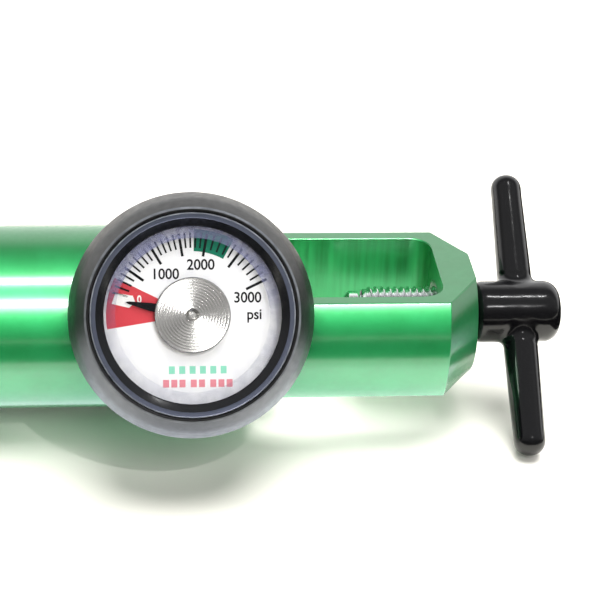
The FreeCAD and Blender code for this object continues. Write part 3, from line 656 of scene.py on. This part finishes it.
def make_handle():
    """One skin of dipped vinyl over the hub and the cross bar, filleted where they meet."""
    hub = turned("hub", [
        (0.0, HUB_START, 0), (HUB_RADIUS, HUB_START, 1.9), (HUB_RADIUS, HUB_END, 3.6),
        (0.0, HUB_END, 0)], 96)
    hub.transform(BARREL)
    half, thin, thick = BAR_HALF_LENGTH, BAR_END_RADIUS, BAR_MID_RADIUS
    bar = turned("bar", [
        (0.0, -half, 0), (thin, -half, thin - 0.3), (thin, -half + 6, 0), (thick, -8.0, 6),
        (thick, 8.0, 6), (thin, half - 6, 0), (thin, half, thin - 0.3), (0.0, half, 0)], 96)
    bar.transform(BAR)
    mesh = boolean(hub, bar, "UNION")
    base = bpy.data.objects.new("handle_base", mesh)
    bpy.context.scene.collection.objects.link(base)
    melt = base.modifiers.new("melt", "REMESH")
    melt.mode, melt.voxel_size = "VOXEL", 0.35 * MM
    relax = base.modifiers.new("relax", "SMOOTH")
    relax.factor, relax.iterations = 0.5, 5
    depsgraph = bpy.context.evaluated_depsgraph_get()
    cover = bpy.data.meshes.new_from_object(base.evaluated_get(depsgraph))
    bpy.data.objects.remove(base)
    soften_junction(cover)
    cover.materials.clear()
    finish_piece(cover, "dipped_handle", "clamp_screw", "vinyl", Matrix.Identity(4),
                 ["handle_cover", "handle_rod"], 180)


def soften_junction(mesh):
    """Smooth only the band where bar and hub meet, as the vinyl gathers there."""
    work = bmesh.new()
    work.from_mesh(mesh)
    middle = Vector((BAR_PLACE * MM, 0, 0))
    near = []
    for vertex in work.verts:
        from_hub = math.hypot(vertex.co.y, vertex.co.z) / MM
        away = vertex.co - middle
        from_bar = (away - BAR_WAY * away.dot(BAR_WAY)).length / MM
        if HUB_RADIUS - 2.2 < from_hub < HUB_RADIUS + 2.2 and from_bar < BAR_MID_RADIUS + 2.2:
            near.append(vertex)
    for _ in range(40):
        bmesh.ops.smooth_vert(work, verts=near, factor=0.5, use_axis_x=True, use_axis_y=True,
                              use_axis_z=True)
    work.to_mesh(mesh)
    work.free()


# Gauge

def make_gauge_shell():
    """Rubber boot, case, bezel and stem flange."""
    wide = BOOT_RADIUS
    boot = lathe("boot", rounded([
        (15.0, 21.3, 0.4), (wide - 1.2, 21.3, 1.0), (wide, 24.0, 3.0), (wide, 28.2, 5.0),
        (24.4, 33.4, 9.0), (22.3, 36.9, 0.8), (21.75, 37.4, 0.25), (21.4, 37.15, 0.1),
        (21.3, 22.5, 0.3), (15.0, 22.5, 0.3)], step=8), 192)
    for material in ("boot", "lip"):
        boot.materials.append(MATERIALS[material])
    for face in boot.polygons:
        across = math.hypot(face.center.x, face.center.y)
        # The top of the lip takes the paler material, a painted highlight ring.
        face.material_index = 1 if 22.0 < across < 22.4 and face.normal.z > 0.3 else 0
    finish_piece(boot, "boot", "regulator", None, DIAL, ["gauge_boot"])
    bezel = lathe("bezel", rounded([
        (19.35, 33.4, 0), (21.25, 33.4, 0), (21.25, 37.1, 0.35), (20.1, 37.1, 0.35),
        (18.6, 36.2, 0.2), (18.2, 35.75, 0.15), (19.35, 35.72, 0)], step=10), 192)
    for material in ("bezel", "slope", "edge"):
        bezel.materials.append(MATERIALS[material])
    for face in bezel.polygons:
        across = math.hypot(face.center.x, face.center.y)
        # The rounded outer edge takes the paler grey, a painted highlight ring.
        on_edge = across > 20.9 and 0.1 < face.normal.z < 0.98
        face.material_index = 1 if across < 19.95 else 2 if on_edge else 0
    finish_piece(bezel, "bezel", "regulator", None, DIAL, ["bezel_ring"])
    stem = turned("stem", [
        (0.0, 19.5, 0), (8.0, 19.5, 0), (8.0, 22.45, 0.3), (0.0, 22.45, 0)], 96)
    finish_piece(stem, "stem_flange", "regulator", "brass", DIAL, ["gauge_stem"])


def make_lens():
    """The lens: a flat window with a rounded shoulder, and its thick rim with a painted reflection of the
    bezel.
    """
    lens = lathe("lens", rounded([
        (0.0, 36.2, 0), (15.9, 36.2, 0.8), (18.0, 35.75, 0.3), (19.25, 35.68, 0), (19.25, 34.95, 0),
        (0.0, 34.95, 0)], closed=False, step=8), 160, False)
    finish_piece(lens, "lens", "regulator", "lens", DIAL, ["gauge_lens"])
    rim = lathe("lens_rim", [(16.0, 34.9), (18.9, 34.9), (18.9, 33.0), (18.7, 33.0), (18.7, 34.6),
                             (16.0, 34.8)], 160)
    finish_piece(rim, "lens_rim", "regulator", "rim", DIAL, ["lens_spacer"])


def make_dial():
    """Dial plate with its printing: scale, coloured sectors, numerals and two rows of blocks."""
    plate = turned("plate", [
        (0.0, DIAL_FACE, 0), (20.2, DIAL_FACE, 0.1), (20.2, DIAL_FACE - 0.5, 0),
        (0.0, DIAL_FACE - 0.5, 0)], 160)
    finish_piece(plate, "dial_face", "regulator", "dial", DIAL, ["dial_plate"])
    print_sectors()
    print_scale()
    print_numerals()
    print_bars()


INK, RAISED = 0.02, 0.16
SCALE = (168.5, 144.4, 121.2, 99.2, 79.4, 52.7, 25.4)


def on_dial(radius, degrees):
    """A point of the dial, its angle anticlockwise from the right."""
    turn = math.radians(degrees)
    return radius * math.cos(turn), radius * math.sin(turn)


def ink_piece(name, shapes, ink, height, body="regulator", place=None):
    """Flat printed shapes, each a list of points, a hair thick and standing on the surface."""
    points, faces = [], []
    for shape in shapes:
        first, count = len(points), len(shape)
        points += [(x, y, height) for x, y in shape] + [(x, y, height + INK) for x, y in shape]
        faces.append(tuple(first + count + k for k in range(count)))
        faces.append(tuple(first + k for k in reversed(range(count))))
        for k in range(count):
            m = (k + 1) % count
            faces.append((first + k, first + m, first + count + m, first + count + k))
    mesh = bpy.data.meshes.new(name)
    mesh.from_pydata(points, [], faces)
    return finish_piece(mesh, name, body, ink, DIAL if place is None else place)


def strips(inner, outer, start, end, step=2.0):
    """Part of a ring between two angles, as four-sided shapes so that each stays convex."""
    count = max(2, math.ceil(abs(end - start) / step))
    sweep = [start + (end - start) * k / count for k in range(count + 1)]
    return [[on_dial(outer, a), on_dial(outer, b), on_dial(inner, b), on_dial(inner, a)]
            for a, b in zip(sweep, sweep[1:])]


def print_sectors():
    """Red refill sector with its white zero patch, and the green full sector."""
    ink_piece("red_sector", strips(7.0, 17.9, 153.7, 189.0), "red_ink", DIAL_FACE)
    ink_piece("green_sector", strips(13.3, 17.9, 61.0, 88.5), "green_ink", DIAL_FACE)
    patch = [on_dial(12.2, 166.5), on_dial(13.0, 161.5), on_dial(16.6, 163.5), on_dial(16.9, 171.5),
             on_dial(13.2, 173.0)]
    ink_piece("zero_patch", [patch], "white_ink", DIAL_FACE + INK)


def print_scale():
    """Long marks at every 500 psi and short ones at every 100."""
    marks = []
    for k, (start, end) in enumerate(zip(SCALE, SCALE[1:])):
        for part in range(5):
            angle = start + (end - start) * part / 5
            if k == 0 and part < 1:
                continue
            inner, wide = (12.4, 0.27) if part == 0 else (14.0, 0.19)
            marks.append(tick(angle, inner, 17.2, wide))
    marks.append(tick(SCALE[-1], 12.4, 17.2, 0.27))
    ink_piece("scale_marks", marks, "black_ink", DIAL_FACE + INK)


def tick(angle, inner, outer, half):
    """A straight mark along a radius."""
    along = Vector(on_dial(1.0, angle))
    aside = Vector((-along.y, along.x)) * half
    return [along * inner - aside, along * outer - aside, along * outer + aside, along * inner + aside]


def letters(name, text, size, place, ink, body, squeeze=1.0, weight=0.05, thick=0.02):
    """Generic figures cut as a thin solid, centred in a local frame."""
    curve = bpy.data.curves.new(name, "FONT")
    curve.body, curve.size, curve.extrude, curve.offset = text, size, thick, weight
    curve.align_x, curve.align_y = "CENTER", "CENTER"
    maker = bpy.data.objects.new(name, curve)
    bpy.context.scene.collection.objects.link(maker)
    depsgraph = bpy.context.evaluated_depsgraph_get()
    mesh = bpy.data.meshes.new_from_object(maker.evaluated_get(depsgraph))
    bpy.data.objects.remove(maker)
    mesh.transform(Matrix.Diagonal((squeeze, 1.0, 1.0, 1.0)))
    mesh.materials.clear()
    return finish_piece(mesh, name, body, ink, place)


def print_numerals():
    """The scale's figures and its unit."""
    for text, x, y in (("1000", -5.6, 8.5), ("2000", 1.8, 10.4), ("3000", 11.5, 3.5),
                       ("psi", 12.9, 0.0)):
        spot = DIAL @ Matrix.Translation((x, y, DIAL_FACE + INK))
        letters(f"figures_{text}", text, 3.1, spot, "black_ink", "regulator", 0.94)
    spot = DIAL @ Matrix.Translation((-11.0, 3.3, DIAL_FACE + 2 * INK))
    letters("figures_0", "0", 2.2, spot, "white_ink", "regulator", 0.85)


def print_bars():
    """Two rows of plain blocks, pale green over pale red, under the needle's hub."""
    for name, ink, y, blocks, gap_after in (("green_row", "pale_green_ink", -11.4, 6, ()),
                                            ("red_row", "pale_red_ink", -14.2, 8, (2, 4))):
        shapes, width, x = [], 1.25, 0.0
        for k in range(blocks):
            shapes.append([(x, -0.8), (x + width, -0.8), (x + width, 0.8), (x, 0.8)])
            x += width + (1.1 if k in gap_after else 0.45 if blocks > 6 else 0.9)
        middle = shapes[-1][1][0] / 2
        shapes = [[(px - middle + 1.0, py + y) for px, py in shape] for shape in shapes]
        ink_piece(name, shapes, ink, DIAL_FACE)


def make_pointer():
    """The tapered needle and the turned cap over its hub, ringed round a centre dimple."""
    low, rings, inner, depth = CAP_HEIGHT, 10, 1.5, 0.05
    top = low + 0.5
    outline = [(0.0, low - 0.05), (CAP_RADIUS - 0.1, low - 0.05), (CAP_RADIUS, low + 0.1),
               (CAP_RADIUS, top - 0.15), (CAP_RADIUS - 0.15, top)]
    pitch = (CAP_RADIUS - 0.3 - inner) / rings
    for k in range(rings * 2 + 1):
        outline.append((CAP_RADIUS - 0.3 - pitch * k / 2, top - depth * (k % 2)))
    outline += [(inner - 0.2, top - 0.05), (inner - 0.6, top - 0.4), (0.7, top - 0.55), (0.0, top - 0.5)]
    cap = lathe("cap", outline, 144, False)
    finish_piece(cap, "hub_cap", "pointer", "aluminium", DIAL, ["pointer_cap"], 6)
    turn = math.radians(SCALE[0])
    shape = [(-5.0, 0.9), (0.0, 1.2), (9.0, 0.85), (13.4, 0.3), (14.3, 0.0)]
    shape += [(x, -y) for x, y in reversed(shape[:-1])]
    needle_frame = DIAL @ Matrix.Rotation(turn, 4, "Z")
    needle = ink_piece("needle_blade", [shape], "black_ink", NEEDLE_HEIGHT, "pointer", needle_frame)
    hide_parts("needle")


# Flow selector

FLUTES, FLUTE_RADIUS, FLUTE_CIRCLE, FLUTE_LENGTH = 18, 2.6, 21.9, 10.5


def flute_depth(angle):
    """Radius of the flute's wall at an angle, or a large value between flutes."""
    pitch = 2 * math.pi / FLUTES
    off = (angle - math.pi / 2 + pitch / 2) % pitch - pitch / 2
    aside = FLUTE_CIRCLE * math.sin(off)
    if abs(aside) >= FLUTE_RADIUS:
        return 2 * FLUTE_CIRCLE
    return FLUTE_CIRCLE * math.cos(off) - math.sqrt(FLUTE_RADIUS ** 2 - aside ** 2)


def make_knob():
    """The fluted knob with its plain skirt and the recess round the outlet's hexagon."""
    radius, grip_end = BARREL_RADIUS, KNOB_START + FLUTE_LENGTH
    outside = rounded([(9.0, KNOB_START + 2.2, 0), (9.0, KNOB_START, 0.4), (radius, KNOB_START, 1.6),
                       (radius, grip_end - 1.2, 0)], closed=False, step=10)
    profile = [(r, h, 0.0) for r, h in outside]
    for degrees in (0, 20, 40, 60, 80, 90):
        profile.append((radius, grip_end - 1.2 + 1.2 * math.sin(math.radians(degrees)),
                        1.2 * (1 - math.cos(math.radians(degrees)))))
    profile += [(radius, grip_end + 0.05, 5.0)]
    profile += [(r, h, 5.0) for r, h in rounded([
        (radius, grip_end + 1.0, 0), (radius, KNOB_END, 0.5), (12.6, KNOB_END, 0.2),
        (12.6, KNOB_END - 0.9, 0)], closed=False)]
    columns = FLUTES * 20
    rows = []
    for r, h, lift in profile:
        ring = []
        for k in range(columns):
            turn = 2 * math.pi * k / columns
            reach = weld_smooth(r, flute_depth(turn) + lift, 0.35) if r > 12.6 and lift < 5 else r
            ring.append((reach * math.cos(turn), reach * math.sin(turn), h))
        rows.append(ring)
    mesh = mesh_of("knob_body", *skin(rows))
    finish_piece(mesh, "flow_knob_grip", "flow_knob", "knob", BARREL, ["knob"], 40)
    floor = lathe("knob_floor", [(4.1, KNOB_START + 2.2), (9.05, KNOB_START + 2.2),
                                 (9.05, KNOB_START + 3.2), (4.1, KNOB_START + 3.2)], 96)
    finish_piece(floor, "flow_knob_floor", "flow_knob", "knob", BARREL)


def make_settings():
    """Figures of the flow settings round the skirt, and the index line on the barrel."""
    index_turn = math.atan2(GAUGE_OUT.z, GAUGE_OUT.y)
    middle = KNOB_END - 3.3
    for k, text in enumerate(SETTINGS):
        turn = index_turn - 2 * math.pi * k / len(SETTINGS)
        out = Vector((0, math.cos(turn), math.sin(turn)))
        spot = axes((middle, 0, 0), X, out.cross(X), out)
        figure = letters(f"setting_{k}", text, 3.4, Matrix.Identity(4), "white_ink", "flow_knob",
                         0.9, 0.06, RAISED)
        wrap(figure.data, spot, BARREL_RADIUS)
    mark = [[(-0.35, -0.4), (2.6, -0.4), (2.6, 0.4), (-0.35, 0.4)]]
    out = GAUGE_OUT
    spot = axes((BARREL_LOW.x + 1.2, 0, 0), X, out.cross(X), out)
    ink_piece("setting_index", mark, "white_ink", BARREL_RADIUS, "regulator", spot)


def wrap(mesh, spot, radius):
    """Bend flat figures round the knob: across becomes along X, up becomes round it."""
    for vertex in mesh.vertices:
        across, up, lift = vertex.co
        turn = up / radius
        reach = radius + lift
        vertex.co = Vector((across, reach * math.sin(turn), reach * math.cos(turn)))
    mesh.transform(spot)


def hexagon(turn, flat_radius):
    """Distance to the side of a hexagon at an angle."""
    off = (turn % (math.pi / 3)) - math.pi / 6
    return flat_radius / math.cos(off)


def make_outlet():
    """Brass outlet: chamfered hexagon, four barbs and the gas way."""
    hex_low, hex_high = BARB_START + 18.4, BARB_START + 22.6
    rows = []
    profile = [(1.5, BARB_START + 12), (1.5, BARB_START + 0.3), (1.8, BARB_START), (2.5, BARB_START)]
    for k in range(4):
        base = BARB_START + 0.6 + 4.4 * k
        profile += [(2.9 if k == 0 else 3.15, base), (3.95, base + 3.0), (4.0, base + 3.2),
                    (3.95, base + 3.3), (3.15, base + 3.35), (3.1, base + 3.5)]
    profile += [(3.1, hex_low - 0.15), (3.3, hex_low)]
    plain = [(r, h, 0) for r, h in profile]
    body = [(6.0, hex_low, 1), (6.6, hex_low + 0.35, 1), (7.0, hex_low + 0.6, 1),
            (7.0, hex_high - 0.6, 1), (6.6, hex_high - 0.35, 1), (6.0, hex_high, 1), (4.0, hex_high, 0),
            (4.0, hex_high + 2, 0)]
    columns = 120
    for r, h, cut in plain + body:
        ring = []
        for k in range(columns):
            turn = 2 * math.pi * k / columns
            reach = weld_smooth(r, hexagon(turn, 6.0), 0.15) if cut else r
            ring.append((reach * math.cos(turn), reach * math.sin(turn), h))
        rows.append(ring)
    mesh = mesh_of("outlet", *skin(rows))
    finish_piece(mesh, "outlet_spigot", "regulator", "brass", BARREL, ["outlet_barb"], 25)


# Small fixed parts

def make_inlet():
    """Nipple, bonded seal and index pins on the seat face."""
    seat = SEAT_PLACE
    nipple = turned("nipple", [
        (1.6, seat, 0), (1.6, 2.8, 0.15), (3.0, 2.8, 0.5), (3.0, 0.0, 0.1), (3.4, 0.0, 0.1),
        (3.4, seat, 0)], 72)
    finish_piece(nipple, "nipple_turning", "regulator", "brass", BARREL, ["inlet_nipple"])
    rubber = lathe("rubber", rounded([(3.45, seat, 0), (3.45, 0.0, 0.3), (5.55, 0.0, 0.3),
                                      (5.55, seat, 0)]), 72)
    finish_piece(rubber, "seal_lip", "regulator", "seal", BARREL, ["seal_rubber"])
    ring = lathe("ring", rounded([(5.6, seat, 0), (5.6, -0.4, 0.15), (7.0, -0.4, 0.25),
                                  (7.0, seat, 0)]), 72)
    finish_piece(ring, "seal_washer", "regulator", "brass", BARREL, ["seal_ring"])
    for number in (1, 2):
        low, high = millimetres(f"index_pin_{number}")
        middle = (low + high) / 2
        pin = turned("pin", [(2.0, seat, 0), (2.0, high.x, 0.5), (0.0, high.x, 0)], 48)
        finish_piece(pin, f"index_pin_turning_{number}", "regulator", "steel",
                     axes((0, middle.y, middle.z), Y, Z, X), [f"index_pin_{number}"])


def make_relief():
    """Vented brass cap of the relief valve."""
    cap = turned("cap", [(1.0, 18.9, 0), (1.0, 20.2, 0.15), (2.4, 20.2, 0.1), (2.6, 20.0, 0.1),
                                (3.0, 20.0, 0.1), (3.2, 20.2, 0.1), (3.95, 20.2, 0.2), (3.95, 18.9, 0)], 72)
    finish_piece(cap, "relief_vent", "regulator", "brass", RELIEF, ["relief_cap"])


KEPT = {
    "inlet_filter": "bronze", "valve_seat": "seat", "stem_guide": "brass", "piston_spring": "steel",
    "selector_plug": "aluminium", "plug_ring": "seal", "thrust_washer": "seat", "detent_ball": "steel",
    "detent_spring": "steel", "relief_spring": "steel", "gauge_case": "knob", "bourdon_tube": "brass",
    "piston": "brass", "piston_ring": "seal", "relief_poppet": "brass", "arbor": "steel",
    "orifice_disc": "brass",
}


def finish_kept_nodes():
    """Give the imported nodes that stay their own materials."""
    for node, material in KEPT.items():
        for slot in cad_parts[node].material_slots:
            slot.material = MATERIALS[material]


# Floor, light and camera

def make_floor():
    """A plain white floor under the part's lowest point."""
    size, low = 3.0, FLOOR_HEIGHT
    mesh = bpy.data.meshes.new("floor")
    mesh.from_pydata([(-size, -size, low), (size, -size, low), (size, size, low), (-size, size, low)],
                     [], [(0, 1, 2, 3)])
    material, tree, shader = new_material("white_card", "#F8F5EC", 0.7)
    vary_roughness(tree, shader, speckle(tree, 40.0), 0.65, 0.75)
    mesh.materials.append(material)
    floor = bpy.data.objects.new("floor", mesh)
    bpy.context.scene.collection.objects.link(floor)


def place_light(light, place, target):
    """Put a light into the scene, aimed from one point to another, both in metres."""
    holder = bpy.data.objects.new(light.name, light)
    bpy.context.scene.collection.objects.link(holder)
    holder.location = place
    holder.rotation_euler = (target - place).to_track_quat("-Z", "Y").to_euler()
    return holder


def lamp(name, place, target, size, power, colour="#FFFFFF", gloss=True, diffuse=True,
         pieces=()):
    """A soft rectangular lamp aimed at a point; places and size in millimetres, power in watts."""
    light = bpy.data.lights.new(name, "AREA")
    light.shape, light.energy = "RECTANGLE", power
    light.size, light.size_y = (side * MM for side in size)
    light.color = srgb(colour)[:3]
    holder = place_light(light, Vector(place) * MM, Vector(target) * MM)
    holder.visible_glossy, holder.visible_diffuse, holder.visible_camera = gloss, diffuse, False
    if pieces:
        lit = bpy.data.collections.new(f"lit_by_{name}")
        for piece in pieces:
            lit.objects.link(bpy.data.objects[piece])
        holder.light_linking.receiver_collection = lit


def overhead(elevation, distance=420, along=0):
    """A place round the barrel: elevation 0 is the horizon at the gauge's side, 90 is straight up."""
    turn = math.radians(elevation)
    return (along, -distance * math.cos(turn), distance * math.sin(turn))


METAL_PIECES = ("barrel_and_yoke", "screw_thread", "swivel_nose", "outlet_spigot",
                "flow_knob_grip")
GLOSS_PIECES = ("dipped_handle", "bezel", "boot", "lens", "hub_cap")
# Strength of the surroundings at each elevation, from the gauge's side over the top to the back
SKY = ((0, 0.1), (25, 0.15), (50, 0.4), (90, 0.5), (105, 0.3), (122, 0.3), (140, 1.4), (180, 1.7))


def make_sky():
    """A dim room on the gauge's side and a bright one behind; the camera itself sees plain white."""
    world = bpy.data.worlds.new("studio")
    bpy.context.scene.world = world
    world.use_nodes = True
    tree = world.node_tree
    way = add(tree, "SeparateXYZ", Vector=add(tree, "TexCoord").outputs["Generated"])
    forward = add(tree, "Math", {"operation": "MULTIPLY"}, _0=way.outputs["Y"], _1=-1.0)
    turn = add(tree, "Math", {"operation": "ARCTAN2"}, _0=way.outputs["Z"], _1=forward.outputs[0])
    share = add(tree, "Math", {"operation": "DIVIDE"}, _0=turn.outputs[0], _1=math.pi)
    ramp = add(tree, "ValToRGB", Fac=share.outputs[0])
    stops = ramp.color_ramp.elements
    while len(stops) < len(SKY):
        stops.new(0.5)
    for stop, (elevation, strength) in zip(stops, SKY):
        stop.position = elevation / 180
        stop.color = (strength / 2, strength / 2, strength / 2, 1)
    glow = add(tree, "Math", {"operation": "MULTIPLY"}, _0=ramp.outputs["Color"], _1=2.0)
    seen = add(tree, "LightPath").outputs["Is Camera Ray"]
    strength = add(tree, "Mix", {"data_type": "FLOAT"}, _0=seen, _2=glow.outputs[0], _3=1.0)
    background = tree.nodes["Background"].inputs
    background["Color"].default_value = srgb("#FFFFFF")
    tree.links.new(strength.outputs[0], background["Strength"])


def light_floor():
    """A broad sun and a soft fill, neither of them mirrored in the part."""
    sun = bpy.data.lights.new("overhead", "SUN")
    sun.energy, sun.angle = 5.5, math.radians(50)
    place_light(sun, Vector((0, 0, 0)), Vector((-60, -90, -520))).visible_glossy = False
    lamp("fill", DIAL @ Vector((150, 60, 500)) / MM, (0, -30, -20), (300, 300), 0.9, gloss=False)


def light_metal():
    """Strips and low cards whose reflections model the green metal and the boot's underside."""
    low, tint = FLOOR_HEIGHT / MM + 0.6, "#EAF0FF"
    lamp("low_card", (-20, -27, low), (-20, -27, 100), (500, 34), 0.095, tint, diffuse=False,
         pieces=METAL_PIECES + ("boot", "bezel"))
    lamp("low_card_edge", (-20, -52, low), (-20, -52, 100), (500, 16), 0.018, tint, diffuse=False,
         pieces=METAL_PIECES + ("boot", "bezel"))
    lamp("front_strip", overhead(44, along=-28), (-28, 0, 0), (305, 25), 4.0, diffuse=False,
         pieces=METAL_PIECES)
    lamp("top_strip", overhead(73, along=-15), (-15, 0, 0), (330, 20), 2.3, diffuse=False,
         pieces=METAL_PIECES)


def light_gauge_and_handle():
    """Small lamps for the highlights of vinyl, lens, bezel and hub cap, and a spot on the dial."""
    lamp("front_lamp", overhead(50, along=125), (20, 0, 0), (9, 9), 0.06, diffuse=False,
         pieces=GLOSS_PIECES)
    for number, aside in enumerate((-14, 0, 14)):
        lamp(f"top_lamp_{number}", overhead(87, along=141 + aside), (20, 0, 0), (7, 7), 0.03,
             diffuse=False, pieces=GLOSS_PIECES)
    gauge = (GAUGE_PLACE, 0, 0)
    lamp("cap_light", DIAL @ Vector((0, 0, 430)) / MM, gauge, (420, 420), 0.07, diffuse=False,
         pieces=("hub_cap",))
    for number, (across, up, power) in enumerate(((-75, 100, 0.6), (80, -95, 0.16))):
        lamp(f"window_{number}", DIAL @ Vector((across, up, 400)) / MM, gauge, (90, 90), power,
             diffuse=False, pieces=("hub_cap",))
    lamp("bezel_window", DIAL @ Vector((60, -240, 370)) / MM, gauge, (160, 160), 5.0, "#D6DCFF",
         diffuse=False, pieces=("bezel",))
    spot = bpy.data.lights.new("dial_spot", "SPOT")
    spot.energy, spot.spot_size = 3.5, math.radians(5.9)
    spot.spot_blend, spot.shadow_soft_size = 0.05, 0.01
    start, end = DIAL @ Vector((120, 160, 400)), DIAL @ Vector((0, 0, 33))
    place_light(spot, start, end).visible_glossy = False


def lay_dark_card():
    """Black card on the floor, seen only in reflections, that darkens the undersides and sides."""
    height = FLOOR_HEIGHT + 0.5 * MM
    sheets = ((-400, 400, -500, -60), (-1500, -140, -60, 500), (90, 1500, -60, 500))
    points = []
    for left, right, near, far in sheets:
        points += [(left * MM, near * MM, height), (right * MM, near * MM, height),
                   (right * MM, far * MM, height), (left * MM, far * MM, height)]
    mesh = bpy.data.meshes.new("dark_card")
    mesh.from_pydata(points, [], [(0, 1, 2, 3), (4, 5, 6, 7), (8, 9, 10, 11)])
    mesh.materials.append(new_material("black_card", "#0C0C0C", 0.9)[0])
    card = bpy.data.objects.new("dark_card", mesh)
    bpy.context.scene.collection.objects.link(card)
    card.visible_camera = card.visible_diffuse = card.visible_shadow = False


def place_camera():
    """The camera looks nearly square at the dial, from a little to its left."""
    camera = bpy.data.cameras.new("camera")
    camera.sensor_width, camera.lens = 36.0, 109.93
    camera.clip_start = 0.01
    holder = bpy.data.objects.new("camera", camera)
    bpy.context.scene.collection.objects.link(holder)
    yaw, pitch, roll = (math.radians(a) for a in (5.165, -0.143, 0.501))
    view = Matrix.Rotation(roll, 3, "Z") @ Matrix.Rotation(pitch, 3, "X") @ Matrix.Rotation(yaw, 3, "Y")
    dial_turn = Matrix((X, GAUGE_UP, GAUGE_OUT)).transposed()
    turn = dial_turn @ view.transposed()
    place = DIAL @ Vector((-12.01, 2.0, 414.42))
    holder.matrix_world = Matrix.Translation(place) @ turn.to_4x4()
    bpy.context.scene.camera = holder


place_camera()
make_housing()
make_screw()
make_handle()
make_gauge_shell()
make_lens()
make_dial()
make_pointer()
make_knob()
make_settings()
make_outlet()
make_inlet()
make_relief()
finish_kept_nodes()
make_floor()
make_sky()
light_floor()
light_metal()
light_gauge_and_handle()
lay_dark_card()
bpy.context.scene.view_settings.view_transform = "Standard"
